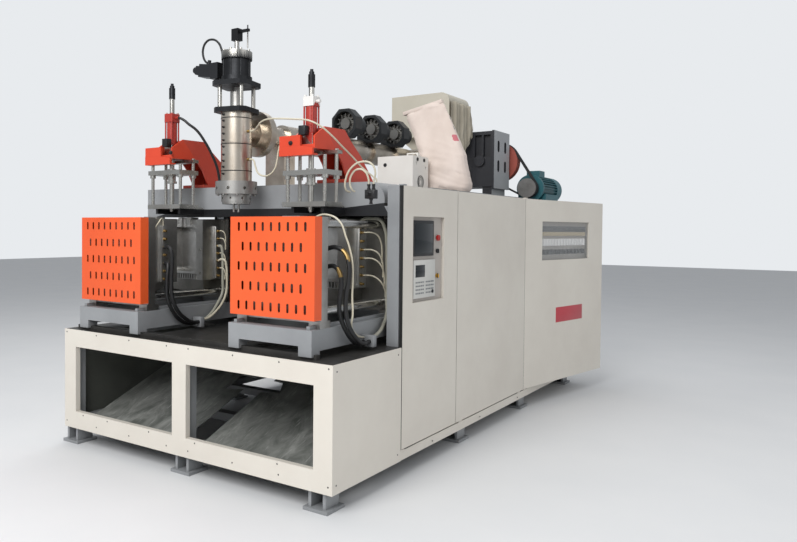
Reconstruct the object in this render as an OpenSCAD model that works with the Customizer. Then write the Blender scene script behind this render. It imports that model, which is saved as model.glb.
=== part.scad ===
// Two-station extrusion blow moulding machine with one die head.
// Millimetres, +Z up from the floor. X = 0 is the axis of the die head.
// Y is measured from the front panel to the rear, then the whole machine is
// moved so that the anchor holes in its feet lie round the origin.

/* [Base] */
// Width of the base over its side panels
base_w = 2404; // [2380:1:2440]
// Distance from the die head axis to the middle of the base
base_shift = 36; // [30:1:42]
// Height of the base from its underside to the deck
base_h = 720; // [700:1:740]
// Depth of the low open front part
front_l = 762; // [756:1:770]
// Length of the machine frame
base_l = 4430; // [4420:1:4460]
// Thickness of the sheet covers
sheet = 4; // [3:0.5:5]
// Size of the square frame tube
tube = 80; // [70:1:84]
// Stile beside each front window
stile = 130; // [120:1:140]
// Bar between the two front windows
mullion = 126; // [110:1:140]
// Height of the strip below the front windows
sill = 124; // [112:1:136]
// Height of the strip above the front windows
lintel = 124; // [112:1:136]
// Depth of the folded edge round each front window
fold = 34; // [20:1:44]
// Thickness of the deck plate
deck_t = 20; // [16:1:24]

/* [Feet] */
// Height of each foot block
foot_h = 120; // [110:1:130]
// Width of each foot block
foot_w = 170; // [150:1:190]
// Distance from the die head axis to each row of anchor holes
anchor_x = 1115; // [1100:1:1130]
// Distance from the front panel to the first anchor holes
anchor_front = 95; // [88:1:110]
// Distance between the first and the last anchor holes
anchor_l = 4240; // [4200:1:4250]
// Height of the bottom rails of the base
base_rail = 60; // [50:1:62]
// Diameter of the anchor holes
anchor_d = 22; // [16:1:30]
// Thickness of the anchor plate under each foot
anchor_t = 20; // [15:1:30]

/* [Upper frame] */
// Level of the cabinet tops and of the roof plates
roof_z = 1871; // [1866:1:1874]
// Distance from the front panel to the front of the cross beam
beam_y = 784; // [780:1:790]
// Depth of the cross beam
beam_d = 420; // [400:1:440]
// Height of the cross beam
beam_h = 140; // [130:1:146]
// Level of the top of the cross beam
beam_top = 1895; // [1893:1:1900]
// Height of the black rail under the cross beam
rail_h = 83; // [76:1:84]
// Width of the posts beside the mould bay
post_w = 85; // [78:1:90]
// Thickness of the roof plates
roof_t = 6; // [5:0.5:8]

/* [Cabinets] */
// Length of the control cabinet
control_l = 800; // [780:1:810]
// Depth of the control cabinet
control_d = 117; // [105:1:125]
// Length of the middle cover panel
middle_l = 1376; // [1350:1:1390]
// Depth of the electric cabinet
electric_d = 430; // [400:1:460]
// Thickness of each door
door_t = 20; // [18:1:24]
// Gap round each door
door_gap = 4; // [4:0.5:6]
// Level of the underside of the doors
door_z = 190; // [189:1:196]
// Angle at which the electric door stands ajar
door_ajar = 10.7; // [8:0.1:14]
// Diameter of the door hinge pins
hinge_d = 10; // [8:1:12]

/* [Control window] */
// Distance from the hinge edge of the door to the control window
window_edge = 130; // [120:1:150]
// Length of the control window
window_l = 450; // [440:1:460]
// Height of the control window
window_h = 560; // [550:1:570]
// Level of the underside of the control window
window_z = 1110; // [1090:1:1130]
// Diameter of the push and turn controls
knob_d = 30; // [24:1:34]
// Distance from the hinge edge of the electric door to its window
pane_y = 290; // [270:1:310]
// Length of the window of the electric door
pane_l = 895; // [880:1:910]
// Level of the underside of the window of the electric door
pane_z = 1315; // [1300:1:1330]
// Height of the window of the electric door
pane_h = 352; // [340:1:364]

/* [Stations] */
// Distance from the die head axis to each blow pin
station_x = 655; // [650:1:665]
// Distance from the front panel to the parting plane of the moulds
station_y = 575; // [572:1:578]
// Distance from each mould axis to the middle of its carriage
carriage_out = 82; // [76:1:86]
// Width of each carriage
carriage_w = 636; // [626:1:640]
// Distance from the parting plane to the front of the carriage
carriage_front = 525; // [520:1:530]
// Distance from the parting plane to the rear of the carriage
carriage_rear = 725; // [715:1:740]
// Height of the carriage beams
carriage_h = 153; // [145:1:160]
// Clearance between the carriage and the deck
carriage_lift = 15; // [12:1:18]
// Width of the carriage beams
carriage_beam = 80; // [72:1:90]
// Distance that each mould half stands back from the parting plane
open_gap = 130; // [120:1:134]

/* [Clamp] */
// Thickness of the platens
platen_t = 65; // [58:1:70]
// Level of the top of the platens
platen_top = 1656; // [1650:1:1660]
// Depth of the guard in front of the front platen
guard_d = 70; // [60:1:76]
// Overhang of the guard at each side of the platen
guard_over = 4; // [2:1:6]
// Level of the underside of the guard
guard_z = 1060; // [1055:1:1070]
// Length of the guard slots
slot_h = 55; // [50:1:60]
// Width of the guard slots
slot_w = 18; // [14:1:20]
// Diameter of the tie bars
tie_d = 50; // [44:1:54]
// Diameter of the clamp cylinder
clamp_d = 150; // [130:1:160]
// Running clearance of slides, rails and bars
slide_gap = 0.3; // [0.2:0.05:0.5]

/* [Mould] */
// Width of each mould half
mould_w = 390; // [380:1:400]
// Thickness of each mould half
mould_t = 240; // [230:1:244]
// Level of the underside of the mould
mould_z = 1190; // [1185:1:1200]
// Level of the top of the mould
mould_top = 1650; // [1645:1:1654]
// Width of the bottle cavity
cavity_w = 250; // [240:1:260]
// Height of the bottle cavity
cavity_h = 340; // [330:1:350]
// Depth of the cavity in each half
cavity_d = 95; // [85:1:105]
// Diameter of the neck bore
neck_d = 60; // [54:1:66]

/* [Blow pins] */
// Level of the underside of the stand base
stand_z = 1728; // [1724:1:1732]
// Width of the stand plates
stand_w = 348; // [340:1:356]
// Thickness of the stand plates
stand_t = 32; // [28:1:34]
// Diameter of the stand columns
column_d = 24; // [20:1:26]
// Distance between the columns along the machine width
column_x = 298; // [290:1:304]
// Distance between the columns along the machine length
column_y = 130; // [124:1:134]
// Width of the gooseneck arm over its side plates
arm_w = 172; // [164:1:180]
// Thickness of the arm plates
arm_t = 12; // [10:1:14]
// Width of the pin cylinder caps
cap_w = 83; // [80:1:88]
// Diameter of the pin cylinder tube
pin_tube_d = 75; // [70:1:78]
// Diameter of the pin rod
rod_d = 36; // [30:1:40]
// Diameter of the blow pin
pin_d = 44; // [38:1:48]
// Drop of the right pin below the left pin
pin_drop = 50; // [44:1:56]

/* [Die head] */
// Level of the underside of the main head cylinder
head_z = 1913; // [1911:1:1916]
// Height of the main head cylinder
head_h = 478; // [470:1:484]
// Diameter of the main head cylinder
head_d = 217; // [210:1:224]
// Diameter of the head clamp ring
ring_d = 293; // [284:1:300]
// Height of the head clamp ring
ring_h = 90; // [84:1:94]
// Diameter of the die
die_d = 209; // [200:1:216]
// Height of the die
die_h = 68; // [60:1:72]
// Width of the lower bridge plate
bridge_w = 255; // [250:1:262]
// Width of the upper bridge plate
bridge_top_w = 272; // [266:1:282]
// Thickness of the bridge plates
bridge_t = 34; // [30:1:38]
// Length of the bridge posts
bridge_post = 150; // [144:1:156]
// Diameter of the parison cylinder
parison_d = 190; // [180:1:198]
// Height of the parison cylinder between its flanges
parison_h = 120; // [110:1:126]
// Diameter of the parison cylinder flanges
flange_d = 216; // [210:1:224]
// Diameter of the parison rod
parison_rod = 34; // [30:1:38]

/* [Extruder] */
// Level of the barrel axis
barrel_z = 2270; // [2265:1:2275]
// Diameter of the heater bands
heater_d = 200; // [190:1:206]
// Diameter of the barrel between its heater bands
barrel_d = 150; // [140:1:160]
// Distance from the front panel to the feed throat
throat_y = 3450; // [3440:1:3460]
// Distance from the front panel to the gearbox
gear_y = 3722; // [3718:1:3730]
// Length of the gearbox
gear_l = 390; // [380:1:396]
// Diameter of each blower inlet
blower_d = 196; // [190:1:200]
// Distance between the blowers
blower_pitch = 405; // [398:1:415]
// Distance from the front panel to the first blower
blower_y = 1775; // [1765:1:1785]
// Width of the hopper
hopper_w = 640; // [620:1:650]
// Length of the hopper along the machine
hopper_l = 460; // [440:1:470]
// Height of the hopper bin
hopper_h = 420; // [400:1:440]
// Level of the top of the hopper
hopper_top = 2930; // [2900:1:2960]

/* [Drive] */
// Radius of the gearbox pulley
pulley_r = 208; // [200:1:212]
// Radius of the motor pulley
motor_pulley_r = 100; // [90:1:108]
// Distance from the die head axis to the gearbox pulley
pulley_x = 490; // [482:1:496]
// Level of the gearbox pulley axis
pulley_z = 2312; // [2306:1:2318]
// Distance from the die head axis to the motor
motor_x = 800; // [790:1:808]
// Level of the motor axis
motor_z = 2030; // [2026:1:2034]
// Diameter of the motor body
motor_d = 290; // [284:1:290]
// Length of the motor body
motor_l = 620; // [600:1:640]
// Pitch of the belts
belt_pitch = 22; // [20:1:24]
// Width of each belt
belt_w = 10; // [9:0.5:10.5]

/* [Hidden] */
$fn = 64;
eps = 0.01;
through = 1;
left_x = base_shift - base_w / 2;
right_x = base_shift + base_w / 2;
deck_z = foot_h + base_h;
side_in = sheet;
rail_top = foot_h + base_rail;
anchor_mid = anchor_front + anchor_l / 2;
hydraulic_y = front_l + control_l;
electric_y = hydraulic_y + middle_l + 6;
electric_l = base_l - electric_y;
door_top = roof_z - 9;
door_h = door_top - door_z;
cab_face = right_x - door_t - 8;
frame_x = cab_face;
hinge_in = 12;
hinge_l = 8;
bracket_l = 44;
beam_bottom = beam_top - beam_h;
rail_bottom = beam_bottom - rail_h;
opening_w = (base_w - 2 * stile - mullion) / 2;
carriage_z = deck_z + carriage_lift;
carriage_top = carriage_z + carriage_h;
slide_h = 20;
slide_w = 24;
platen_w = carriage_w;
platen_z = carriage_top + slide_h + 12;
mould_back = open_gap + mould_t;
stroke = open_gap;
tie_out = carriage_out + carriage_w / 2 - 70;
tie_in = carriage_out - carriage_w / 2 + 46;
tie_top = 1614;
tie_low = 1098;
yoke_t = 60;
yoke_y = carriage_rear - yoke_t;
clamp_l = 200;
cap_z = stand_z + 400;
cap_h = 80;
pin_tube_h = 172;
top_cap_h = 62;
cyl_top = cap_z + cap_h + pin_tube_h + top_cap_h;
nose_t = 28;
foot_t = 25;
bridge_z = head_z + head_h;
bridge_top_z = bridge_z + bridge_t + bridge_post;
parison_z = bridge_top_z + bridge_t + eps;
ring_z = head_z - ring_h;
die_z = ring_z - die_h;
pulley_l = 96;
pulley_y = gear_y + gear_l + 48;
belt_n = 4;
drop_w = 430;
drop_y0 = 290;
drop_y1 = 860;
control_x = cab_face - control_d;
deck_rail_w = 34;
deck_rail_h = 28;
rail_lines = [station_y - carriage_front + carriage_beam / 2,
    station_y + carriage_rear - carriage_beam / 2];
beam_end = control_x - 4;
beam_round = beam_h - 20;
seat_z = roof_z - roof_t;
bearer_x = [-460, 460];
rear_y = base_l - sheet - post_w;
clamp_z = 1130;
clamp_rod = 60;
tie_places = [[tie_out, tie_top], [tie_out, tie_low], [tie_in, tie_low]];
blower_axis = 2465;
hopper_x = 40;
cloth_wave = 13;
cloth_x = hopper_x + hopper_w / 2 + 2 + 1.427 * cloth_wave + slide_gap;
motor_rail_t = 14;
// Place along the window, level above its sill and shank diameter of each control
controls = [[375, 420, 16], [375, 330, 12], [375, 160, 12], [290, 60, 8]];

// Moves the machine so that its anchor holes lie round the origin
module placed() {
    translate([0, -anchor_mid, 0])
    children();
}

// Box between two corners
module block(a, b) {
    translate(a)
    cube(b - a);
}

// Upright cylinder between two levels
module post(x, y, z0, z1, d) {
    translate([x, y, z0])
    cylinder(d = d, h = z1 - z0);
}

// Cylinder along Y
module bar_y(x, y0, y1, z, d) {
    translate([x, y0, z])
    rotate([-90, 0, 0])
    cylinder(d = d, h = y1 - y0);
}

// Cylinder along X
module bar_x(x0, x1, y, z, d) {
    translate([x0, y, z])
    rotate([0, 90, 0])
    cylinder(d = d, h = x1 - x0);
}

// Rectangle with true round corners, centred
module round_rect(w, h, r) {
    square([w - 2 * r, h], center = true);
    square([w, h - 2 * r], center = true);
    for (x = [-1, 1], y = [-1, 1])
        translate([x * (w / 2 - r), y * (h / 2 - r)])
        circle(r = r);
}

// Upright slot, centred
module slot(w, h) {
    round_rect(w, h, w / 2 - eps);
}

// Draws a side profile given in Y and Z, with the thickness along X
module side_plate(x0, x1) {
    translate([x0, 0, 0])
    rotate([90, 0, 90])
    linear_extrude(x1 - x0)
    children();
}

// Draws a front profile given in X and Z, with the depth along Y
module front_plate(y0, y1) {
    translate([0, y1, 0])
    rotate([90, 0, 0])
    linear_extrude(y1 - y0)
    children();
}

// Frame of one station: x points away from the die head, y from the parting plane
module station(side) {
    translate([side * station_x, station_y, 0])
    mirror([side < 0 ? 1 : 0, 0, 0])
    children();
}

// Frame of one blow pin, not mirrored
module pin_place(side) {
    translate([side * station_x, station_y, 0])
    children();
}

module foot(x, y, holes) {
    difference() {
        union() {
            block([x - foot_w / 2, y - foot_w / 2, 0],
                [x + foot_w / 2, y + foot_w / 2, anchor_t]);
            block([x - foot_w / 2 + 25, y - foot_w / 2 + 20, anchor_t],
                [x - foot_w / 2 + 45, y + foot_w / 2 - 20, foot_h]);
            block([x + foot_w / 2 - 45, y - foot_w / 2 + 20, anchor_t],
                [x + foot_w / 2 - 25, y + foot_w / 2 - 20, foot_h]);
            block([x - foot_w / 2 + 25, y + foot_w / 2 - 40, anchor_t],
                [x + foot_w / 2 - 25, y + foot_w / 2 - 20, foot_h]);
        }
        if (holes)
            post(x, y, -through, anchor_t + through, anchor_d);
    }
}

// Seat with a hole for the hinge pin of a door, between two levels
module hinge_seat(x0, y0, z0, z1) {
    difference() {
        block([x0, y0, z0], [right_x, y0 + bracket_l, z1]);
        post(right_x - door_t / 2, y0 + door_gap + hinge_in, z0 - through, z1 + through,
            hinge_d + 0.1);
    }
}

// Welded tube frame of the base on its feet, with the lower hinge seats
module base_frame() placed() color("SlateGray") {
    x0 = left_x + side_in;
    x1 = right_x - side_in;
    y0 = sheet + fold;
    y1 = base_l - sheet;
    top = deck_z - deck_t;
    for (x = [-anchor_x, anchor_x]) {
        for (k = [0, 1])
            foot(x, anchor_front + k * anchor_l, true);
        for (k = [0.4, 0.7])
            foot(x, anchor_front + k * anchor_l, false);
    }
    foot(base_shift, anchor_front, false);
    for (y = [y0, front_l + 40, hydraulic_y, electric_y - tube - 6, y1 - tube])
        block([x0, y, foot_h], [x1, y + tube, rail_top]);
    for (x = [x0, x1 - tube])
        block([x, y0, foot_h], [x + tube, y1, rail_top]);
    for (x = [x0, base_shift - tube / 2, x1 - tube])
        block([x, y0, foot_h], [x + tube, y0 + tube, top]);
    for (x = [x0, frame_x - tube])
        block([x, hydraulic_y - tube, foot_h], [x + tube, hydraulic_y, top]);
    for (x = [x0, frame_x - tube])
        block([x, y0, top - tube], [x + tube, hydraulic_y, top]);
    block([x0, y0, top - tube], [x1, y0 + tube, top]);
    block([x0, hydraulic_y - tube, top - tube], [frame_x, hydraulic_y, top]);
    for (y = [front_l, electric_y])
        hinge_seat(cab_face, y, rail_top - eps, door_z - 3);
}

// Outline of the front panel windows, given in X and Z
module front_windows(grow) {
    for (x = [left_x + stile, right_x - stile - opening_w])
        translate([x - grow, foot_h + sill - grow])
        square([opening_w + 2 * grow, base_h - sill - lintel + 2 * grow]);
}

// Front panel with folded window edges
module front_panel() placed() color("AntiqueWhite") {
    front_plate(0, sheet)
    difference() {
        translate([left_x, foot_h])
        square([base_w, base_h]);
        front_windows(0);
    }
    front_plate(sheet - eps, sheet + fold)
    difference() {
        front_windows(sheet);
        front_windows(0);
    }
}

// Deck plate with the linear rails of the carriages bolted on it
module deck() placed() color("DimGray") {
    difference() {
        union() {
            block([left_x + side_in, sheet, deck_z - deck_t],
                [right_x - side_in, front_l - door_gap, deck_z]);
            block([left_x + side_in, sheet, deck_z - deck_t],
                [frame_x, hydraulic_y - door_gap, deck_z]);
        }
        for (s = [-1, 1])
            block([s * station_x - drop_w / 2, drop_y0, deck_z - deck_t - through],
                [s * station_x + drop_w / 2, drop_y1, deck_z + through]);
    }
    for (y = rail_lines)
        block([left_x + 60, y - deck_rail_w / 2, deck_z],
            [control_x - 20, y + deck_rail_w / 2, deck_z + deck_rail_h]);
}

// Bent steel chutes under the drop holes, one behind each front window
module chutes() placed() color("Silver") {
    lip_y = sheet + fold + 60;
    foot_y = lip_y + 30;
    wall_y = hydraulic_y - tube - slide_gap;
    wall_z = deck_z - deck_t - 110;
    t = 4;
    for (x = [left_x + stile + 20, right_x - stile - opening_w + 20])
        difference() {
            side_plate(x, x + opening_w - 40)
            polygon([[lip_y, rail_top], [foot_y, rail_top], [wall_y - t, wall_z],
                [wall_y, wall_z], [wall_y, wall_z + 70], [wall_y - t, wall_z + 70],
                [wall_y - t, wall_z + t], [foot_y - 2, rail_top + t], [lip_y, rail_top + t]]);
            translate([x < base_shift - opening_w / 2 ? x + opening_w - 40 : x, front_l, 0])
            linear_extrude(deck_z)
            polygon([[-150, -80], [150, -20], [90, 90], [-150, 110]]);
        }
}

// Posts, cross beam with its black rail, bearers of the roof and upper hinge seat
module upper_frame() placed() color("LightSlateGray") {
    rear_x = cab_face - electric_d - 10;
    front_plate(beam_y, beam_y + beam_d)
    difference() {
        translate([left_x, beam_bottom])
        square([beam_end - left_x, beam_h]);
        translate([beam_end - beam_round, beam_top - beam_round])
        difference() {
            square(beam_round + through);
            circle(r = beam_round);
        }
    }
    block([left_x + 20, beam_y, rail_bottom], [beam_end - 2, beam_y + 200, beam_bottom + eps]);
    block([beam_end - 3, beam_y, rail_bottom], [frame_x - post_w + eps, front_l + post_w,
        beam_bottom - 20]);
    block([frame_x - post_w, front_l, deck_z], [frame_x, front_l + post_w, seat_z]);
    block([left_x, beam_y, deck_z], [left_x + post_w, beam_y + post_w, beam_bottom + eps]);
    for (x = [left_x, cab_face - post_w - 8])
        block([x, hydraulic_y + 30, rail_top], [x + post_w, hydraulic_y + 30 + post_w, seat_z]);
    for (x = [left_x, rear_x - post_w])
        block([x, rear_y, rail_top], [x + post_w, rear_y + post_w, seat_z]);
    block([left_x, hydraulic_y + 30, seat_z - post_w],
        [cab_face - 8, hydraulic_y + 30 + post_w, seat_z]);
    block([left_x, rear_y, seat_z - post_w], [rear_x, rear_y + post_w, seat_z]);
    for (x = bearer_x)
        block([x - post_w / 2, beam_y + beam_d - eps, seat_z - post_w],
            [x + post_w / 2, rear_y + eps, seat_z]);
    for (s = [-1, 1], t = [-1, 1])
        block([s * station_x + t * 120 - 12, station_y - 40, stand_z - 38],
            [s * station_x + t * 120 + 12, beam_y + eps, stand_z]);
    hinge_seat(cab_face - 3, front_l, door_top + 1, roof_z);
}

// Walk-on plates between the cabinets and the left covers
module roof_plates() placed() color("LightSteelBlue") {
    y0 = beam_y + beam_d + 6;
    block([left_x, y0, seat_z], [right_x - door_t - 12, hydraulic_y + 600, roof_z]);
    block([left_x, hydraulic_y + 604, seat_z], [right_x - door_t - 12, electric_y - 4, roof_z]);
    block([left_x, electric_y, seat_z], [right_x - door_t - 12, base_l, roof_z]);
}

// Plain sheet covers: low sides, left side, rear and the middle of the right side
module cover_panels() placed() color("AntiqueWhite") {
    block([left_x, sheet, foot_h], [left_x + side_in, hydraulic_y, deck_z]);
    block([right_x - side_in, sheet, foot_h], [right_x, front_l - door_gap, deck_z]);
    block([left_x - side_in, hydraulic_y + 4, rail_top], [left_x, electric_y - 4, seat_z - 2]);
    block([left_x - side_in, electric_y, rail_top], [left_x, base_l, seat_z - 2]);
    block([left_x - eps, base_l - sheet, rail_top], [cab_face - electric_d - 12, base_l, seat_z - 2]);
    y0 = hydraulic_y + door_gap;
    y1 = electric_y - 2 * door_gap;
    difference() {
        block([right_x - door_t, y0, door_z], [right_x, y1, door_top]);
        block([right_x - door_t - through, y0 + 30, door_z + 30],
            [right_x - sheet, y1 - 30, door_top - 30]);
    }
    for (y = [y0 + 60, y1 - 120])
        block([right_x - door_t, y, rail_top], [right_x - sheet - 1, y + 60, door_z + eps]);
    for (z = [door_z + 200, door_top - 260])
        block([cab_face - 8, y0 + 10, z], [right_x - door_t + eps, y0 + 80, z + 60]);
}

// Open-fronted sheet cabinet
module cabinet(y0, l, d, z0, z1) {
    difference() {
        block([cab_face - d, y0, z0], [cab_face, y0 + l, z1]);
        block([cab_face - d + sheet, y0 + sheet, z0 + sheet],
            [cab_face + through, y0 + l - sheet, z1 - sheet]);
    }
}

module control_cabinet() placed() color("AntiqueWhite")
    cabinet(front_l + post_w, control_l - post_w - door_gap, control_d, deck_z, beam_bottom - 5);

module electric_cabinet() placed() color("AntiqueWhite") {
    cabinet(electric_y, electric_l, electric_d, rail_top, seat_z);
    hinge_seat(cab_face - 3, electric_y, door_top + 1, roof_z);
}

// Door with folded edges and two hinge pins, lying along Y from its hinge edge
module door(l, win_y, win_l, win_z, win_h) {
    difference() {
        union() {
            difference() {
                block([right_x - door_t, 0, door_z], [right_x, l, door_top]);
                block([right_x - door_t - through, 36, door_z + 36],
                    [right_x - sheet, l - 36, door_top - 36]);
            }
            block([right_x - door_t, win_y - 20, win_z - 20],
                [right_x, win_y + win_l + 20, win_z + win_h + 20]);
        }
        block([right_x - door_t - through, win_y, win_z],
            [right_x + through, win_y + win_l, win_z + win_h]);
    }
    post(right_x - door_t / 2, hinge_in, door_z - hinge_l, door_z + eps, hinge_d);
    post(right_x - door_t / 2, hinge_in, door_top - eps, door_top + hinge_l, hinge_d);
}

module control_door() placed() color("AntiqueWhite")
    translate([0, front_l + door_gap, 0])
    door(control_l - 2 * door_gap, window_edge, window_l, window_z, window_h);

// Turns what is on the electric door to the angle at which it stands ajar
module ajar() {
    translate([right_x - door_t / 2, electric_y + door_gap + hinge_in, 0])
    rotate([0, 0, -door_ajar])
    translate([-right_x + door_t / 2, -hinge_in, 0])
    children();
}

// Door of the electric cabinet with the clear pane of its window
module electric_door() placed() color("AntiqueWhite")
    ajar() {
        door(electric_l - 2 * door_gap, pane_y, pane_l, pane_z, pane_h);
        block([right_x - door_t + 3, pane_y - eps, pane_z - eps],
            [right_x - door_t + 7, pane_y + pane_l + eps, pane_z + pane_h + eps]);
    }

// Row of like modules on the mounting plate of the electric cabinet
module gear_row(y, z, n, w, h, d) {
    for (i = [0 : n - 1])
        block([cab_face - electric_d + sheet + 10, y + i * w, z],
            [cab_face - electric_d + sheet + 10 + d, y + i * w + w - 3, z + h]);
}

// Mounting plate with wire ducts, relays, breakers and terminals
module electric_gear() placed() color("WhiteSmoke") {
    x = cab_face - electric_d + sheet;
    block([x, electric_y + 60, 500], [x + 10 + eps, base_l - 60, 1790]);
    for (z = [1690, 1330, 900])
        block([x + 10, electric_y + 110, z], [x + 90, base_l - 110, z + 60]);
    gear_row(electric_y + 170, 1590, 30, 34, 60, 70);
    gear_row(electric_y + 170, 1480, 22, 46, 80, 90);
    gear_row(electric_y + 170, 1050, 9, 110, 170, 130);
}

// Sunk panel in the control window with the screen, the parison unit and sockets
module operator_panel() placed() color("WhiteSmoke") {
    x = right_x - door_t;
    y = front_l + door_gap + window_edge;
    difference() {
        block([x - 4, y - 18, window_z - 18], [x - slide_gap, y + window_l + 18, window_z + window_h + 18]);
        for (c = controls)
            bar_x(x - 6, x + 1, y + c[0], window_z + c[1], c[2] + 1);
    }
    block([x - slide_gap - eps, y + 20, window_z + 300], [x + 10, y + 300, window_z + 530]);
    difference() {
        block([x - slide_gap - eps, y + 20, window_z + 20], [x + 8, y + 330, window_z + 275]);
        bar_x(x - 6, x + 9, y + controls[3][0], window_z + controls[3][1], controls[3][2] + 1);
    }
}

// Push or turn control with its shank through the panel
module control(i, head_d, gap, head_l) {
    x = right_x - door_t;
    y = front_l + door_gap + window_edge + controls[i][0];
    z = window_z + controls[i][1];
    bar_x(x - 12, x + gap + 1, y, z, controls[i][2]);
    bar_x(x + gap, x + head_l, y, z, head_d);
}

module estop_button() placed() color("Red")
    control(0, knob_d + 10, 5, 18);

module mode_selector() placed() color("Black") {
    control(1, knob_d - 2, 0, 12);
    block([right_x - door_t + 11, front_l + door_gap + window_edge + controls[1][0] - 4,
            window_z + controls[1][1] - knob_d / 2 + 2],
        [right_x - door_t + 18, front_l + door_gap + window_edge + controls[1][0] + 4,
            window_z + controls[1][1] + knob_d / 2 - 2]);
}

module heat_selector() placed() color("Gold") {
    control(2, knob_d - 2, 0, 12);
    block([right_x - door_t + 11, front_l + door_gap + window_edge + controls[2][0] - 4,
            window_z + controls[2][1] - knob_d / 2 + 2],
        [right_x - door_t + 18, front_l + door_gap + window_edge + controls[2][0] + 4,
            window_z + controls[2][1] + knob_d / 2 - 2]);
}

module setting_knob() placed() color("Black") {
    y = front_l + door_gap + window_edge + controls[3][0];
    z = window_z + controls[3][1];
    x = right_x - door_t + 8.5;
    bar_x(x - 16, x + 1, y, z, controls[3][2]);
    bar_x(x, x + 9, y, z, knob_d - 6);
}

// Main head cylinder: heater bands with seams, and the side adapter to the barrel
module head_body() placed() color("Gainsboro")
    translate([0, station_y, 0]) {
    band = [0, 70, 265, head_h];
    difference() {
        union() {
            for (i = [0 : 2])
                post(0, 0, head_z + band[i] + (i > 0 ? 3 : 0), head_z + band[i + 1], head_d);
            post(0, 0, head_z, head_z + head_h, head_d - 10);
            block([-head_d / 2 - 9, -22, head_z + 6], [-head_d / 2 + 8, -6, head_z + head_h - 8]);
            block([-head_d / 2 - 9, 6, head_z + 6], [-head_d / 2 + 8, 22, head_z + head_h - 8]);
            bar_y(0, 0, 150, barrel_z, 120);
            bar_y(0, 150 - eps, 190, barrel_z, 200);
        }
        post(0, 0, bridge_z - 62, bridge_z + through, parison_rod + 27);
    }
    for (i = [0 : 5])
        bar_x(-head_d / 2 - 16, -head_d / 2 + 2, 0, head_z + 32 + i * 78, 12);
}

// Clamp ring with its bolt pockets, the die below it and the die pins
module die_ring() placed() color("LightGray")
    translate([0, station_y, 0]) {
    difference() {
        union() {
            post(0, 0, ring_z, head_z - slide_gap, ring_d);
            post(0, 0, die_z + 14, ring_z + eps, die_d);
            post(0, 0, die_z, die_z + 14 + eps, die_d - 12);
        }
        for (a = [20 : 45 : 359])
            rotate([0, 0, a]) {
                bar_x(ring_d / 2 - 30, ring_d / 2 + through, 0, ring_z + ring_h * 0.45, 22);
                bar_x(die_d / 2 - 22, die_d / 2 + through, 0, die_z + die_h * 0.6, 16);
            }
    }
    for (a = [0 : 45 : 359])
        rotate([0, 0, a])
        post(ring_d / 2 - 18, 0, ring_z - 10, ring_z + eps, 20);
    for (x = [-22, 22])
        post(x, 0, die_z - 56, die_z + eps, 15);
    bar_x(-22, 22, 0, die_z - 34, 9);
}

// Square plate with cut corners
module bridge_plate(w, z) {
    cut = 34;
    translate([0, 0, z])
    linear_extrude(bridge_t)
    polygon([[cut - w / 2, -w / 2], [w / 2 - cut, -w / 2], [w / 2, cut - w / 2],
        [w / 2, w / 2 - cut], [w / 2 - cut, w / 2], [cut - w / 2, w / 2],
        [-w / 2, w / 2 - cut], [-w / 2, cut - w / 2]]);
}

// Two plates on four posts between the head and the parison cylinder
module head_bridge() placed() color("DarkSlateGray")
    translate([0, station_y, 0])
    rotate([0, 0, 12])
    difference() {
        union() {
            bridge_plate(bridge_w, bridge_z);
            bridge_plate(bridge_top_w, bridge_top_z);
            for (x = [-1, 1], y = [-1, 1])
                post(x * (bridge_w / 2 - 42), y * (bridge_w / 2 - 42), bridge_z + bridge_t - eps,
                    bridge_top_z + eps, 30);
        }
        post(0, 0, bridge_z - through, bridge_z + bridge_t + through, parison_rod + 27);
        post(0, 0, bridge_top_z - through, bridge_top_z + bridge_t + through, parison_rod + 1);
    }

// Parison control cylinder with flanges, tie rods and gland
module parison_cylinder() placed() color("DimGray")
    translate([0, station_y, parison_z])
    difference() {
        union() {
            cylinder(d = flange_d, h = 35);
            translate([0, 0, 35 - eps])
            cylinder(d = parison_d, h = parison_h + 2 * eps);
            translate([0, 0, 35 + parison_h])
            cylinder(d = flange_d, h = 55);
            translate([0, 0, 90 + parison_h - eps])
            cylinder(d = 78, h = 16, $fn = 6);
            for (a = [15 : 45 : 359])
                rotate([0, 0, a]) {
                    post(flange_d / 2 - 13, 0, 20, parison_h + 60, 14);
                    post(flange_d / 2 - 15, 0, 90 + parison_h - eps, 104 + parison_h, 16);
                }
        }
        translate([0, 0, -through])
        cylinder(d = parison_rod + 1, h = parison_h + 130);
    }

// Servo valve on its manifold, on the left of the parison cylinder
module servo_valve() placed() color("Black")
    translate([-flange_d / 2, station_y, parison_z]) {
    block([-95, -60, 37], [14 - 36, 60, 150]);
    block([14 - 36 - eps, -12, 60], [(flange_d - parison_d) / 2 - slide_gap, 30, 120]);
    translate([-95, 0, 95])
    rotate([0, 8, 0]) {
        block([-130, -45, -42], [eps, 45, 50]);
        block([-175, -32, -26], [-130 + eps, 32, 38]);
        bar_x(-200, -175 + eps, 0, 8, 58);
        bar_x(-214, -200 + eps, 0, 8, 44);
        post(-60, -14, 50 - eps, 82, 26);
        post(-96, 12, 50 - eps, 74, 22);
    }
    post(-60, -20, 12, 38, 34);
    post(-60, 26, 20, 38, 28);
}

// Rod of the parison cylinder: lower coupling, rod and the stroke sensor on top
module parison_rod() placed() color("Silver")
    translate([0, station_y, 0]) {
    top = parison_z + parison_h + 170;
    post(0, 0, bridge_z - 40, bridge_z + bridge_t + 30, parison_rod + 26);
    post(0, 0, bridge_z + bridge_t + 16, bridge_top_z - 36, 92);
    post(0, 0, bridge_z, top, parison_rod);
    block([-30, -26, top], [30, 26, top + 82]);
    block([20, -10, top + 52], [112, 10, top + 70]);
    post(100, 0, parison_z + parison_h + 108, top + 96, 9);
}

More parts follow.
